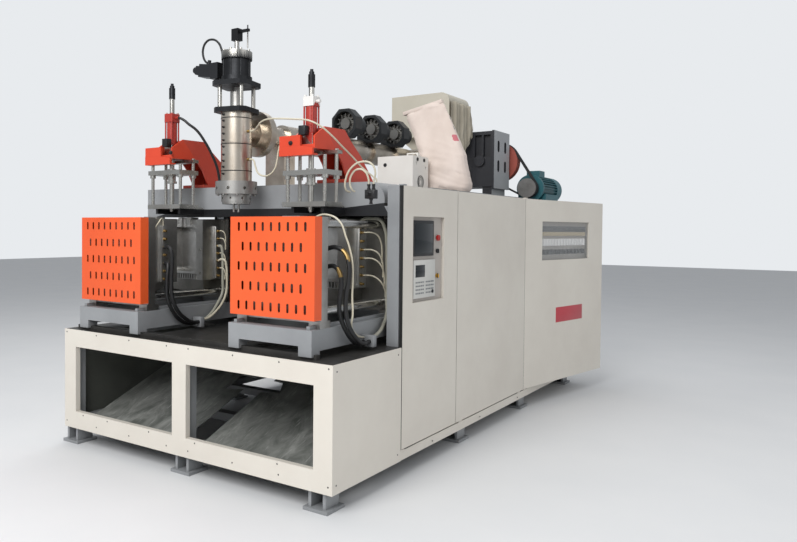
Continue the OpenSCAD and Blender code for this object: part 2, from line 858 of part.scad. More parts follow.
// Welded gooseneck arm that carries the pin cylinder, with its front box
module arm(side) placed() color("OrangeRed")
    pin_place(side) {
    nose_z = cap_z - nose_t;
    foot_z = beam_top;
    box_z = cap_z - 70;
    top_line = [[-78, cap_z + 52], [30, cap_z + 122], [265, cap_z + 126], [340, cap_z + 56],
        [465, cap_z - 34], [600, foot_z + 66], [640, foot_z + foot_t]];
    low_line = [[300, foot_z + foot_t], [240, nose_z - 72], [168, nose_z + 6],
        [-78, nose_z]];
    for (x = [-arm_w / 2, arm_w / 2 - arm_t])
        side_plate(x, x + arm_t)
        polygon(concat(top_line, low_line));
    side_plate(-arm_w / 2 + arm_t - eps, arm_w / 2 - arm_t + eps) {
        polygon([[82, cap_z + 112], [82, cap_z + 123], [265, cap_z + 126], [340, cap_z + 56],
            [465, cap_z - 34], [600, foot_z + 66], [592, foot_z + 60],
            [458, cap_z - 42], [332, cap_z + 48], [260, cap_z + 115]]);
        polygon([[-78, nose_z], [168, nose_z + 6], [168, cap_z - 6], [120, cap_z], [-78, cap_z]]);
    }
    difference() {
        block([-arm_w / 2 - 30, 225, foot_z], [arm_w / 2 + 30, 628, foot_z + foot_t + eps]);
        for (x = [-1, 1], y = [250, 600])
            post(x * (arm_w / 2 + 16), y, foot_z - through, foot_z + foot_t + through, 14);
    }
    block([-190, -95, cap_z - 8], [-arm_w / 2 + eps, 20, cap_z + 60]);
    block([-arm_w / 2 - eps, -95, cap_z - 8], [-20, -78 + eps, cap_z + 60]);
    front_plate(-97, -78 + eps)
    polygon([[-190, box_z], [80, box_z], [80, cap_z - 26], [-20, cap_z - 8],
        [-190, cap_z - 8]]);
    block([-190, -79, box_z], [80, -column_y / 2 + 10 + column_d / 2 + 6, box_z + 10]);
    block([-190, -79, box_z + 9], [-178, 20, cap_z - 8 + eps]);
}

// The rod hole of the arm nose is cut through the finished arm
module bored_arm(side) {
    difference() {
        arm(side);
        placed()
        pin_place(side)
        post(0, 0, cap_z - nose_t - 20, cap_z + through, rod_d + 6);
    }
}

module left_arm() color("OrangeRed") bored_arm(-1);

module right_arm() color("OrangeRed") bored_arm(1);

// Guide stand of the blow pin: base plate, four columns and upper plate
module pin_stand(side) placed() color("Silver")
    pin_place(side) {
    y0 = -column_y / 2 + 10;
    y1 = column_y / 2 + 10;
    difference() {
        block([-stand_w / 2, y0 - 30, stand_z], [stand_w / 2, y1 + 30, stand_z + stand_t]);
        post(0, 0, stand_z - through, stand_z + stand_t + through, pin_d + 4);
    }
    block([-120, y1 + 30 - eps, stand_z], [120, beam_y - station_y - slide_gap, stand_z + 12]);
    for (x = [-column_x / 2, column_x / 2]) {
        post(x, y0, stand_z + stand_t - eps, cap_z - 70, column_d);
        post(x, y1, stand_z + stand_t - eps, cap_z - 54 + eps, column_d);
        post(x, y1, cap_z - 32 - eps, cap_z - 22, column_d + 6);
    }
    block([-stand_w / 2, y1 - 26, cap_z - 54], [stand_w / 2, y1 + 32, cap_z - 32]);
}

module left_pin_stand() pin_stand(-1);

module right_pin_stand() pin_stand(1);

// Air cylinder on the arm: lower cap, red tube, four tie rods and upper cap
module pin_cylinder(side) placed() color("FireBrick")
    pin_place(side)
    difference() {
        union() {
            translate([0, 0, cap_z])
            linear_extrude(cap_h)
            round_rect(cap_w, cap_w, 6);
            post(0, 0, cap_z + cap_h - eps, cap_z + cap_h + pin_tube_h + eps, pin_tube_d);
            translate([0, 0, cyl_top - top_cap_h])
            linear_extrude(top_cap_h)
            round_rect(cap_w, cap_w, 6);
            for (x = [-1, 1], y = [-1, 1]) {
                post(x * (cap_w / 2 - 8), y * (cap_w / 2 - 8), cap_z + cap_h - eps,
                    cyl_top - top_cap_h + eps, 12);
                post(x * (cap_w / 2 - 12), y * (cap_w / 2 - 12), cyl_top - eps, cyl_top + 12, 16);
            }
            bar_x(cap_w / 2 - eps, cap_w / 2 + 30, 0, cyl_top - top_cap_h / 2, 22);
        }
        post(0, 0, cap_z - through, cyl_top + through, rod_d + 2 * slide_gap);
    }

module left_pin_cylinder() pin_cylinder(-1);

module right_pin_cylinder() pin_cylinder(1);

// Moving pin: stop sleeve, rod, guided cross plate and blow pin
module blow_pin(side) placed() color("Silver")
    pin_place(side) {
    lift = side < 0 ? pin_drop : 0;
    plate_z = stand_z + 204 + lift;
    sleeve_z = cyl_top + 64 + lift;
    tip = side < 0 ? stand_z - 20 : stand_z - 34;
    y0 = -column_y / 2 + 10;
    y1 = column_y / 2 + 10;
    difference() {
        block([-stand_w / 2 + 4, y0 - 28, plate_z], [stand_w / 2 - 4, y1 + 32, plate_z + stand_t]);
        for (x = [-column_x / 2, column_x / 2], y = [y0, y1])
            post(x, y, plate_z - through, plate_z + stand_t + through, column_d + 2 * slide_gap);
    }
    difference() {
        for (x = [-column_x / 2, column_x / 2], y = [y0, y1])
            post(x, y, plate_z - 22, plate_z + eps, column_d + 18);
        for (x = [-column_x / 2, column_x / 2], y = [y0, y1])
            post(x, y, plate_z - 23, plate_z + 1, column_d + 2 * slide_gap);
    }
    post(0, 0, plate_z + stand_t - eps, sleeve_z + 8, rod_d);
    post(0, 0, plate_z + stand_t - eps, plate_z + stand_t + 14, 64);
    post(0, 0, sleeve_z, sleeve_z + 82, 46);
    post(0, 0, sleeve_z + 82 - eps, sleeve_z + 100, 34);
    post(0, 0, sleeve_z + 100 - eps, sleeve_z + 116, 22);
    post(0, 0, plate_z - 46, plate_z + eps, 58);
    post(0, 0, plate_z - 62, plate_z - 46 + eps, 74);
    post(0, 0, tip + 10, plate_z - 62 + eps, pin_d - 8);
    post(0, 0, tip + 24, tip + 40, pin_d);
    post(0, 0, tip, tip + 10 + eps, pin_d - 18);
}

module left_blow_pin() blow_pin(-1);

module right_blow_pin() blow_pin(1);

// Sliding carriage of one mould: welded beams, platen rails and cylinder yoke
module carriage(side) placed() color("LightSteelBlue")
    station(side) {
    x0 = carriage_out - carriage_w / 2;
    x1 = carriage_out + carriage_w / 2;
    b = carriage_beam;
    difference() {
        union() {
            block([x0, -carriage_front, carriage_z], [x1, b - carriage_front, carriage_top]);
            block([x0, carriage_rear - b, carriage_z], [x1, carriage_rear, carriage_top]);
            for (x = [x0, x1 - b])
                block([x, -carriage_front, carriage_z + 30], [x + b, carriage_rear, carriage_top]);
        }
        block([x0 + 85, -carriage_front - through, carriage_z - through],
            [x1 - 95, b - carriage_front + through, carriage_z + 58]);
        for (y = rail_lines)
            block([x0 - through, y - station_y - deck_rail_w / 2 - slide_gap, carriage_z - through],
                [x1 + through, y - station_y + deck_rail_w / 2 + slide_gap,
                    deck_z + deck_rail_h + slide_gap]);
    }
    for (x = [x0 + b / 2, x1 - b / 2])
        block([x - slide_w / 2, 20 - carriage_front, carriage_top - eps],
            [x + slide_w / 2, yoke_y - 6, carriage_top + slide_h]);
    difference() {
        union() {
            block([x0 + 60, yoke_y, carriage_top - eps], [x1, yoke_y + yoke_t, 1230]);
            block([tie_out - 70, yoke_y, 1230 - eps], [x1, yoke_y + yoke_t, platen_top]);
            block([tie_in - 50, yoke_y, carriage_top - eps], [x0 + 61, yoke_y + yoke_t, 1180]);
            bar_y(carriage_out, yoke_y - clamp_l, yoke_y + eps, clamp_z, clamp_d);
            bar_y(carriage_out, yoke_y + yoke_t - eps, yoke_y + yoke_t + 24, clamp_z, 110);
        }
        bar_y(carriage_out, yoke_y - clamp_l - through, yoke_y - 20, clamp_z, clamp_rod + 2);
        for (p = tie_places)
            bar_y(p[0], yoke_y - through, yoke_y + yoke_t + through, p[1], tie_d + 2 * slide_gap);
    }
}

// Foot of a platen that straddles the rails of the carriage
module platen_feet(y0) {
    b = carriage_beam;
    for (x = [carriage_out - carriage_w / 2 + b / 2, carriage_out + carriage_w / 2 - b / 2])
        difference() {
            block([x - b / 2, y0 - 10, carriage_top + slide_gap], [x + b / 2, y0 + platen_t + 30,
                platen_z + 10]);
            block([x - slide_w / 2 - slide_gap, y0 - 12, carriage_top],
                [x + slide_w / 2 + slide_gap, y0 + platen_t + 32,
                    carriage_top + slide_h + slide_gap]);
        }
}

// Front platen with its feet and the tie bars
module front_platen(side) placed() color("Silver")
    station(side) {
    y0 = -mould_back - platen_t;
    block([carriage_out - platen_w / 2, y0, platen_z],
        [carriage_out + platen_w / 2, -mould_back, platen_top]);
    platen_feet(y0);
    for (p = tie_places)
        bar_y(p[0], y0 + platen_t - eps, yoke_y + yoke_t + 60, p[1], tie_d);
    block([-mould_w / 2 + 30, -mould_back - eps, mould_z - 86],
        [mould_w / 2 - 30, -open_gap - 40, mould_z - slide_gap]);
}

// Back platen with its feet and the clamp rod
module back_platen(side) placed() color("Silver")
    station(side) {
    difference() {
        block([carriage_out - platen_w / 2, mould_back, platen_z],
            [carriage_out + platen_w / 2, mould_back + platen_t, platen_top]);
        for (p = tie_places)
            bar_y(p[0], mould_back - through, mould_back + platen_t + through, p[1],
                tie_d + 2 * slide_gap);
    }
    translate([0, mould_back - 20, 0])
    platen_feet(0);
    bar_y(carriage_out, mould_back + platen_t - eps, yoke_y - 45, clamp_z, clamp_rod);
    block([-mould_w / 2 + 30, open_gap + 40, mould_z - 86],
        [mould_w / 2 - 30, mould_back + eps, mould_z - slide_gap]);
}

// Slotted orange guard in front of the front platen
module guard(side) placed() color("Coral")
    station(side) {
    y1 = -mould_back - platen_t - slide_gap;
    y0 = y1 - guard_d;
    w = platen_w + 2 * guard_over;
    h = platen_top - guard_z;
    difference() {
        block([carriage_out - w / 2, y0, guard_z], [carriage_out + w / 2, y1, platen_top]);
        block([carriage_out - w / 2 + sheet, y0 + sheet, guard_z + sheet],
            [carriage_out + w / 2 - sheet, y1 + through, platen_top - sheet]);
        front_plate(y0 - through, y0 + sheet + through)
        for (row = [0 : 4], col = [0 : 8 - row % 2])
            translate([carriage_out + (col - 4 + (row % 2) / 2) * (w - 136) / 8,
                guard_z + h / 2 + (row - 2) * (h - 120) / 4])
            slot(slot_w, slot_h);
    }
}

// Bottle shape of the cavity, given in X and Z
module cavity_outline() {
    translate([0, mould_z + 62 + cavity_h / 2])
    round_rect(cavity_w, cavity_h, 40);
}

// Mould half with the cavity, the neck and the waste pockets on its parting face
module mould(side, face) placed() color("DarkGray")
    station(side)
    mirror([0, face < 0 ? 1 : 0, 0]) {
    y0 = open_gap;
    difference() {
        block([-mould_w / 2, y0, mould_z], [mould_w / 2, mould_back - slide_gap, mould_top]);
        front_plate(y0 - through, y0 + cavity_d)
        cavity_outline();
        translate([0, y0, 0])
        post(0, 0, mould_top - 100, mould_top + 30, neck_d);
        block([-cavity_w / 2 - 10, y0 - through, mould_z - through],
            [cavity_w / 2 + 10, y0 + 26, mould_z + 46]);
        block([-cavity_w / 2 - 10, y0 - through, mould_top - 38],
            [-neck_d / 2 - 30, y0 + 26, mould_top + through]);
        block([neck_d / 2 + 30, y0 - through, mould_top - 38],
            [cavity_w / 2 + 10, y0 + 26, mould_top + through]);
        for (x = [-mould_w / 2 + 24, mould_w / 2 - 24], z = [mould_z + 50, mould_z + 230])
            bar_y(x, y0 - through, y0 + 18, z, 20);
    }
    for (x = [-100 : 25 : 100])
        block([x - 4, y0 + 4, mould_z + 3], [x + 4, y0 + 26 + eps, mould_z + 46 - 3]);
    difference() {
        block([-70, y0 + 2, mould_top - eps], [70, y0 + 80, mould_top + 16]);
        translate([0, y0, 0])
        post(0, 0, mould_top - through, mould_top + 30, neck_d);
    }
}

module left_carriage() carriage(-1);

module left_front_platen() front_platen(-1);

module left_guard() guard(-1);

module left_back_platen() back_platen(-1);

module left_front_mould() mould(-1, -1);

module left_back_mould() mould(-1, 1);

module right_carriage() carriage(1);

module right_front_platen() front_platen(1);

module right_guard() guard(1);

module right_back_platen() back_platen(1);

module right_front_mould() mould(1, -1);

module right_back_mould() mould(1, 1);

// Extruder barrel with its front flange, heater bands and feed throat
module barrel() placed() color("Gainsboro") {
    flange_y = station_y + 190;
    bar_y(0, flange_y, flange_y + 60, barrel_z, 330);
    bar_y(0, flange_y + 60 - eps, flange_y + 120, barrel_z, 240);
    bar_y(0, flange_y + 120 - eps, gear_y - slide_gap, barrel_z, barrel_d);
    for (i = [-2 : 3])
        bar_y(0, max(flange_y + 150, blower_y + 108 + i * blower_pitch),
            min(throat_y - 140, blower_y - 8 + (i + 1) * blower_pitch), barrel_z, heater_d);
    block([-130, throat_y - 130, barrel_z - 120], [130, throat_y + 130, barrel_z + 130]);
    block([-90, 1000, beam_top], [90, 1130, barrel_z]);
}

// Blower housings on the barrel, each with a round inlet and a ring of bars
module blowers() placed() color("DarkSlateGray")
    for (i = [0 : 2])
        translate([100, blower_y + i * blower_pitch, blower_axis])
        difference() {
            union() {
                rotate([-90, 0, 0])
                rotate([0, 0, 22.5])
                cylinder(d = blower_d + 62, h = 100, $fn = 8);
                block([-140, 15, barrel_d / 2 + barrel_z - blower_axis + slide_gap], [-70, 90, -40]);
                bar_y(0, 99, 250, 0, blower_d - 66);
                bar_y(0, 115, 235, 0, blower_d - 50);
            }
            bar_y(0, -through, 70, 0, blower_d);
        }

// Inlet grille ring and wheel of one blower
module blower_wheel(i) placed() color("Black")
    translate([100, blower_y + i * blower_pitch, blower_axis]) {
    bar_y(0, 20, 70 - slide_gap, 0, 90);
    bar_y(0, 58, 66, 0, blower_d - 16);
    for (a = [0 : 30 : 359])
        rotate([0, a, 0])
        block([60, 24, -3], [blower_d / 2 - 12, 60, 3]);
}

module blower_wheel_1() blower_wheel(0);

module blower_wheel_2() blower_wheel(1);

module blower_wheel_3() blower_wheel(2);

// Material hopper: deep bin with a sloped throat, open at the top
module hopper() placed() color("Wheat")
    translate([hopper_x, throat_y, 0])
    difference() {
        half = hopper_w / 2;
        low = hopper_top - hopper_h;
        union() {
            front_plate(-hopper_l / 2, hopper_l / 2) {
                translate([-half, low])
                square([hopper_w, hopper_h - 90]);
                translate([-half, hopper_top - 91])
                square([hopper_w - 90, 91]);
                translate([half - 90, hopper_top - 90])
                circle(r = 90);
            }
            front_plate(-110, 110)
            polygon([[-110 - hopper_x, barrel_z + 130], [110 - hopper_x, barrel_z + 130],
                [half - 40, low + eps], [40 - half, low + eps]]);
        }
        front_plate(3 - hopper_l / 2, hopper_l / 2 - 3) {
            translate([3 - half, low + 3])
            square([hopper_w - 6, hopper_h - 93]);
            translate([3 - half, hopper_top - 92])
            square([hopper_w - 96, 89]);
        }
        block([12 - half, 12 - hopper_l / 2, low + 60], [half - 102, hopper_l / 2 - 12,
            hopper_top + through]);
        front_plate(-107, 107)
        polygon([[-106 - hopper_x, barrel_z + 129], [106 - hopper_x, barrel_z + 129],
            [half - 45, low + 4], [45 - half, low + 4]]);
    }

// Gearbox casting with ribs, boss and the pale cover with long holes
module gearbox() placed() color("DarkSlateGray") {
    x0 = -200;
    x1 = 600;
    z1 = 2590;
    y1 = gear_y + gear_l;
    difference() {
        block([x0, gear_y, 2030], [x1, y1, z1]);
        for (x = [x1 - 190, x1 - 95])
            block([x, gear_y - through, 2330], [x + 75, gear_y + 40, z1 - 36]);
        bar_y(pulley_x, y1 - 60, y1 + through, pulley_z, 81);
    }
    bar_y(0, gear_y - eps, gear_y + 1, barrel_z, 260);
    bar_y(x1 - 130, gear_y - 30, gear_y + 1, 2290, 110);
    for (x = [x0 + 160, x0 + 330, x1 - 250])
        block([x, gear_y - 16, 2040], [x + 22, gear_y + 1, 2185]);
    difference() {
        block([x1 - eps, gear_y - 10, 2010], [x1 + 24, y1 + 10, z1 + 6]);
        for (p = [[70, 2440], [70, 2240], [250, 2440], [250, 2240]])
            translate([x1 + 2, gear_y + p[0] + 35, p[1]])
            rotate([90, 0, 90])
            linear_extrude(30)
            slot(54, 120);
    }
    for (x = [x0 + 10, x1 - 110])
        block([x, gear_y + 20, roof_z], [x + 100, y1 - 20, 2031]);
}

// Groove profile of a pulley, given as radius and place along its axis
function groove_points(r, i) = [
    [r, i * belt_pitch + 4], [r - 14, i * belt_pitch + 7],
    [r - 14, i * belt_pitch + 15], [r, i * belt_pitch + 18]];

module pulley(r, hub) {
    rotate([-90, 0, 0])
    rotate_extrude($fn = 96)
    polygon(concat([[hub, 0]], [[r, 0]],
        [for (i = [0 : belt_n - 1]) each groove_points(r, i)],
        [[r, belt_n * belt_pitch], [hub, belt_n * belt_pitch]]));
}

// Large pulley with a dished web on the gearbox input shaft
module gearbox_pulley() placed() color("IndianRed")
    translate([pulley_x, pulley_y, pulley_z]) {
    difference() {
        pulley(pulley_r, eps);
        bar_y(0, 30, 100, 0, 2 * pulley_r - 60);
    }
    bar_y(0, 20, 96, 0, 110);
    bar_y(0, -95, 21, 0, 80);
}

// Small pulley on the motor shaft
module motor_pulley() placed() color("DimGray")
    translate([motor_x, pulley_y, motor_z]) {
    pulley(motor_pulley_r, eps);
    bar_y(0, 80, belt_n * belt_pitch + 20 + 28, 0, 60);
}

// Closed outline of a belt round two circles, the second one at a distance c along X
function belt_points(r0, r1, c) =
    let (a = acos((r0 - r1) / c), n = 40, m = 20)
    concat([for (i = [0 : n]) let (t = a + (360 - 2 * a) * i / n) r0 * [cos(t), sin(t)]],
        [for (i = [0 : m]) let (t = -a + 2 * a * i / m) [c + r1 * cos(t), r1 * sin(t)]]);

// Four V belts round the two pulleys
module drive_belts() placed() color("Black") {
    dx = motor_x - pulley_x;
    dz = motor_z - pulley_z;
    c = sqrt(dx * dx + dz * dz);
    for (i = [0 : belt_n - 1])
        translate([pulley_x, 0, pulley_z])
        front_plate(pulley_y + i * belt_pitch + 11 - belt_w / 2,
            pulley_y + i * belt_pitch + 11 + belt_w / 2)
        rotate(atan2(dz, dx))
        difference() {
            polygon(belt_points(pulley_r + 2, motor_pulley_r + 2, c));
            polygon(belt_points(pulley_r - 9, motor_pulley_r - 9, c));
        }
}

// Finned motor on a bracket that overhangs the rear of the frame
module drive_motor() placed() color("DarkCyan") {
    y0 = pulley_y + belt_n * belt_pitch + 20;
    y1 = y0 + motor_l;
    translate([motor_x, 0, motor_z])
    front_plate(y0 + 30, y1 - 149) {
        circle(d = motor_d - 44);
        for (a = [-60 : 12 : 240])
            rotate(a)
            translate([motor_d / 4, 0])
            square([motor_d / 2 - 4, 6], center = true);
    }
    difference() {
        bar_y(motor_x, y0, y0 + 31, motor_z, motor_d);
        bar_y(motor_x, y0 - through, y0 + 30 - eps, motor_z, 62);
    }
    bar_y(motor_x, y1 - 150, y1, motor_z, motor_d - 6);
    block([motor_x - 70, y0 + 90, motor_z + motor_d / 2 - 30], [motor_x + 70, y0 + 250,
        motor_z + motor_d / 2 + 46]);
    for (x = [motor_x - 120, motor_x + 120]) {
        block([x - 30, y0 + 60, roof_z + motor_rail_t - eps], [x + 30, y1 - 170, motor_z - 60]);
        block([x - 36, gear_y + 180, roof_z], [x + 36, y1 - 100, roof_z + motor_rail_t]);
        side_plate(x - 10, x + 10)
        polygon([[base_l + slide_gap, roof_z + eps], [y1 - 110, roof_z + eps],
            [y1 - 110, roof_z - 40], [base_l + slide_gap, roof_z - 300]]);
    }
    block([motor_x - 156, base_l + slide_gap, roof_z - 300], [motor_x + 156,
        base_l + slide_gap + 14, roof_z + eps]);
}

// White auxiliary unit with a fan grille and two sockets
module aux_box() placed() color("White") {
    difference() {
        block([430, 1780, roof_z], [750, 2040, 2167]);
        for (r = [18, 34, 50])
            difference() {
                bar_x(747, 751, 1900, 1965, 2 * r);
                bar_x(746, 752, 1900, 1965, 2 * r - 14);
            }
        bar_x(744, 751, 1840, 2110, 26);
        bar_x(744, 751, 1990, 2080, 26);
    }
    block([640, 1880, 2167 - eps], [652, 1910, 2190]);
    block([728, 1880, 2167 - eps], [740, 1910, 2190]);
    block([640, 1880, 2186], [740, 1910, 2196]);
}

// Woven sack, full below and slack above, that leans to the left
module sack() placed() color("Linen")
    translate([980, 2080, roof_z])
    intersection() {
        front_plate(-10, 260) {
            polygon([[-240, 0], [130, 0], [160, 60], [110, 330], [-95, 720], [-190, 790],
                [-560, 690], [-530, 640], [-400, 360], [-300, 60]]);
        }
        side_plate(-600, 200)
        polygon([[20, 0], [200, 0], [224, 40], [212, 240], [160, 520], [136, 800], [116, 800],
            [84, 520], [10, 240], [0, 40]]);
    }

// Wavy outline of the hanging cloth seen from above, with a sign for each face
function cloth_line(side) = [for (y = [-235 : 5 : 285])
    [cloth_wave * sin(y * 4.4) + cloth_wave / 2 * sin(y * 2.1) + side * 2, y]];

function reversed(list) = [for (i = [len(list) - 1 : -1 : 0]) list[i]];

// Beige cloth that hangs in folds from the hopper edge to the gearbox
module hopper_cloth() placed() color("Tan")
    translate([cloth_x, throat_y, 0])
    intersection() {
        translate([0, 0, hopper_top - 800])
        linear_extrude(900)
        polygon(concat(cloth_line(-1), reversed(cloth_line(1))));
        side_plate(-60, 60)
        polygon([[-232, hopper_top - 90], [228, hopper_top - 90], [gear_y - throat_y - 4,
            hopper_top - 330], [gear_y - throat_y - 20, hopper_top - 400], [60, hopper_top - 620],
            [-60, hopper_top - 760], [-232, hopper_top - 740]]);
    }

base_frame();
front_panel();
deck();
chutes();
upper_frame();
roof_plates();
cover_panels();
control_cabinet();
electric_cabinet();
control_door();
electric_door();
electric_gear();
operator_panel();
estop_button();
mode_selector();
heat_selector();
setting_knob();
head_body();
die_ring();
head_bridge();
parison_cylinder();
servo_valve();
parison_rod();
left_arm();
left_pin_stand();
left_pin_cylinder();
left_blow_pin();
right_arm();
right_pin_stand();
right_pin_cylinder();
right_blow_pin();
left_carriage();
left_front_platen();
left_guard();
left_back_platen();
left_front_mould();
left_back_mould();
right_carriage();
right_front_platen();
right_guard();
right_back_platen();
right_front_mould();
right_back_mould();
barrel();
blowers();
blower_wheel_1();
blower_wheel_2();
blower_wheel_3();
hopper();
gearbox();
gearbox_pulley();
drive_motor();
motor_pulley();
drive_belts();
aux_box();
sack();
hopper_cloth();
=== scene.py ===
"""Looks of a two-station blow moulding machine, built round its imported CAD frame.

Metres, in the frame's axes: X to the cabinet side, Y from the front panel to the drive motor, Z up.
The sections follow the machine as it is put together, from the floor to the roof.
"""
import math

import bpy
from mathutils import Matrix, Vector, geometry, noise


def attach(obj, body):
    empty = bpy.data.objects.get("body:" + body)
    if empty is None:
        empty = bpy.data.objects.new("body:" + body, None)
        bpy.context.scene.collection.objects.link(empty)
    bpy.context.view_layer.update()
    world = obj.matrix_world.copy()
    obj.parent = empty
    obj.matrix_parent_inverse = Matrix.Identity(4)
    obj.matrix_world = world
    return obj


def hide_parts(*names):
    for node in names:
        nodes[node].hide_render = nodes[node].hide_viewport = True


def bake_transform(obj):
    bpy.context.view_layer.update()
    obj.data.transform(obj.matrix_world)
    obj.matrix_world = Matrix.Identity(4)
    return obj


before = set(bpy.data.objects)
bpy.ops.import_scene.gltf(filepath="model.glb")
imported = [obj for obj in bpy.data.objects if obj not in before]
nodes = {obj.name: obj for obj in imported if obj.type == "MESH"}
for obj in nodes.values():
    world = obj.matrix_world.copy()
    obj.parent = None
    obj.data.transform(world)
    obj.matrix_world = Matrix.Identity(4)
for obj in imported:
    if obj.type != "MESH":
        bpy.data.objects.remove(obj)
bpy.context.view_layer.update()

# Camera
# It stands where the photograph was taken, at eye height off the front right corner.
# Its axis points left of the picture's middle, so the lens is shifted a little to the right.
PHOTO_W, PHOTO_H = 797, 542
FOCAL_PX = 723.0
AXIS_PX, AXIS_PY = 325.4, 245.8
TURN, TILT, ROLL = 35.354, -1.313, 0.415

lens = bpy.data.cameras.new("camera")
lens.sensor_width = 36.0
lens.lens = FOCAL_PX * lens.sensor_width / PHOTO_W
lens.shift_x = (PHOTO_W / 2 - AXIS_PX) / PHOTO_W
lens.shift_y = -(PHOTO_H / 2 - AXIS_PY) / PHOTO_W
lens.clip_end = 200.0
camera = bpy.data.objects.new("camera", lens)
bpy.context.scene.collection.objects.link(camera)
turn = Matrix.Rotation(math.radians(TURN), 4, "Z")
tilt = Matrix.Rotation(math.radians(90 + TILT), 4, "X")
roll = Matrix.Rotation(math.radians(ROLL), 4, "Z")
camera.matrix_world = Matrix.Translation((3.469, -5.439, 1.583)) @ turn @ tilt @ roll
bpy.context.scene.camera = camera

# Floor and light
# A pale studio floor that runs out to a pale surround, under two soft boxes and an even sky.
# The surround is what metal and glass mirror, and the sky alone lights what the boxes miss.
FLOOR_SIZE = 60.0


def linear(code):
    """Linear RGBA of an sRGB hex colour."""
    shares = [int(code[i:i + 2], 16) / 255 for i in (0, 2, 4)]
    return (*[s / 12.92 if s <= 0.04045 else ((s + 0.055) / 1.055) ** 2.4 for s in shares], 1.0)


def add_node(tree, kind, **settings):
    """Adds one node. A setting is a property, a socket by name, or a socket by number as in4."""
    node = tree.nodes.new("ShaderNode" + kind)
    for name, value in settings.items():
        if hasattr(node, name):
            setattr(node, name, value)
            continue
        by_number = name[:2] == "in" and name[2:].isdigit()
        socket = node.inputs[int(name[2:]) if by_number else name.replace("_", " ")]
        if isinstance(value, bpy.types.NodeSocket):
            tree.links.new(value, socket)
        else:
            socket.default_value = linear(value) if isinstance(value, str) else value
    return node


def new_material(name):
    """An empty material, with its node tree and its surface socket."""
    material = bpy.data.materials.new(name)
    material.use_nodes = True
    tree = material.node_tree
    tree.nodes.clear()
    output = tree.nodes.new("ShaderNodeOutputMaterial")
    return material, tree, output.inputs["Surface"]


world = bpy.data.worlds.new("studio")
bpy.context.scene.world = world
world.use_nodes = True
sky = world.node_tree
sky.nodes.clear()
ray = add_node(sky, "LightPath")
seen = add_node(sky, "Math", operation="MAXIMUM", in0=ray.outputs["Is Camera Ray"],
                in1=ray.outputs["Is Transmission Ray"])
even = add_node(sky, "Background", Color="E9EDF2", Strength=0.52)
pale = add_node(sky, "Background", Color="E8EBEE", Strength=1.0)
choice = add_node(sky, "MixShader", in0=seen.outputs[0], in1=even.outputs[0],
                  in2=pale.outputs[0])
sky.links.new(choice.outputs[0], sky.nodes.new("ShaderNodeOutputWorld").inputs["Surface"])

# Painted concrete floor: matt and nearly even, with the soft mottling of a sealed slab.
concrete, tree, surface = new_material("sealed_concrete")
place = add_node(tree, "TexCoord")
mottle = add_node(tree, "TexNoise", Vector=place.outputs["Object"], Scale=1.5, Detail=3.0)
tone = add_node(tree, "MixRGB", in0=mottle.outputs["Fac"], in1="D9DADB", in2="E1E1E1")
tree.links.new(add_node(tree, "BsdfPrincipled", Base_Color=tone.outputs[0],
                        Roughness=0.7).outputs[0], surface)
bpy.ops.object.select_all(action="DESELECT")
bpy.ops.mesh.primitive_plane_add(size=FLOOR_SIZE, location=(0, 0, 0))
floor = bpy.context.active_object
floor.name = "floor"
floor.data.materials.append(concrete)

for name, at, aim, size, watts in (
        ("key_box", (1.5, -7.5, 6.0), (0, -1.5, 1.0), 5.0, 520),
        ("side_box", (7.5, -1.0, 4.5), (1.0, 0, 1.2), 5.0, 60),
        ("top_box", (-2.0, 1.0, 8.0), (0, 0, 1.8), 6.0, 230)):
    box = bpy.data.lights.new(name, "AREA")
    box.shape = "SQUARE"
    box.size = size
    box.energy = watts
    lamp = bpy.data.objects.new(name, box)
    bpy.context.scene.collection.objects.link(lamp)
    lamp.location = at
    lamp.rotation_euler = (Vector(aim) - Vector(at)).to_track_quat("-Z", "Y").to_euler()

bpy.context.scene.view_settings.view_transform = "Standard"

# Base frame, deck and roof
# Welded box tube under a blue-grey machine enamel, brushed on after welding.
# The carriages and the beam have the same enamel; the deck is worn and oily.


def enamel(name, base, shade, roughness, peel_mm=5.0, corner_shade=0.35, corner_shade_m=0.06):
    """Sprayed machine enamel: orange peel, slow drifts of tone and painted shade in the corners."""
    material, tree, surface = new_material(name)
    place = add_node(tree, "TexCoord").outputs["Object"]
    drift = add_node(tree, "TexNoise", Vector=place, Scale=1.8, Detail=5.0, Roughness=0.6)
    tone = add_node(tree, "MapRange", Value=drift.outputs["Fac"], in1=0.35, in2=0.7)
    paint = add_node(tree, "MixRGB", in0=tone.outputs[0], in1=base, in2=shade)
    # Ambient occlusion darkens the paint to brown-black in corners and recesses, a painted shade.
    corner = add_node(tree, "AmbientOcclusion", samples=4, Distance=corner_shade_m)
    painted_corner_shade = add_node(tree, "MapRange", Value=corner.outputs["AO"], in1=0.85, in2=0.3,
                    in3=0.0, in4=corner_shade)
    paint_with_corner_shade = add_node(tree, "MixRGB", in0=painted_corner_shade.outputs[0], in1=paint.outputs[0], in2="2E2A26")
    peel = add_node(tree, "TexNoise", Vector=place, Scale=1000 / peel_mm, Detail=1.0)
    bump = add_node(tree, "Bump", Strength=0.12, Distance=0.0006, Height=peel.outputs["Fac"])
    shader = add_node(tree, "BsdfPrincipled", Base_Color=paint_with_corner_shade.outputs[0], Roughness=roughness,
                      Normal=bump.outputs[0])
    tree.links.new(shader.outputs[0], surface)
    return material


def cover(material, *names):
    """Gives CAD nodes one material."""
    for name in names:
        nodes[name].data.materials.clear()
        nodes[name].data.materials.append(material)


def wrap(piece, material, chosen):
    """Gives a second material to the faces of a piece that pass a test."""
    piece.data.materials.append(material)
    for face in piece.data.polygons:
        if chosen(face):
            face.material_index = len(piece.data.materials) - 1


def cover_part(material, name, inside):
    """Gives a second material to the faces of a CAD node whose middle passes a test."""
    wrap(nodes[name], material, lambda face: inside(face.center))


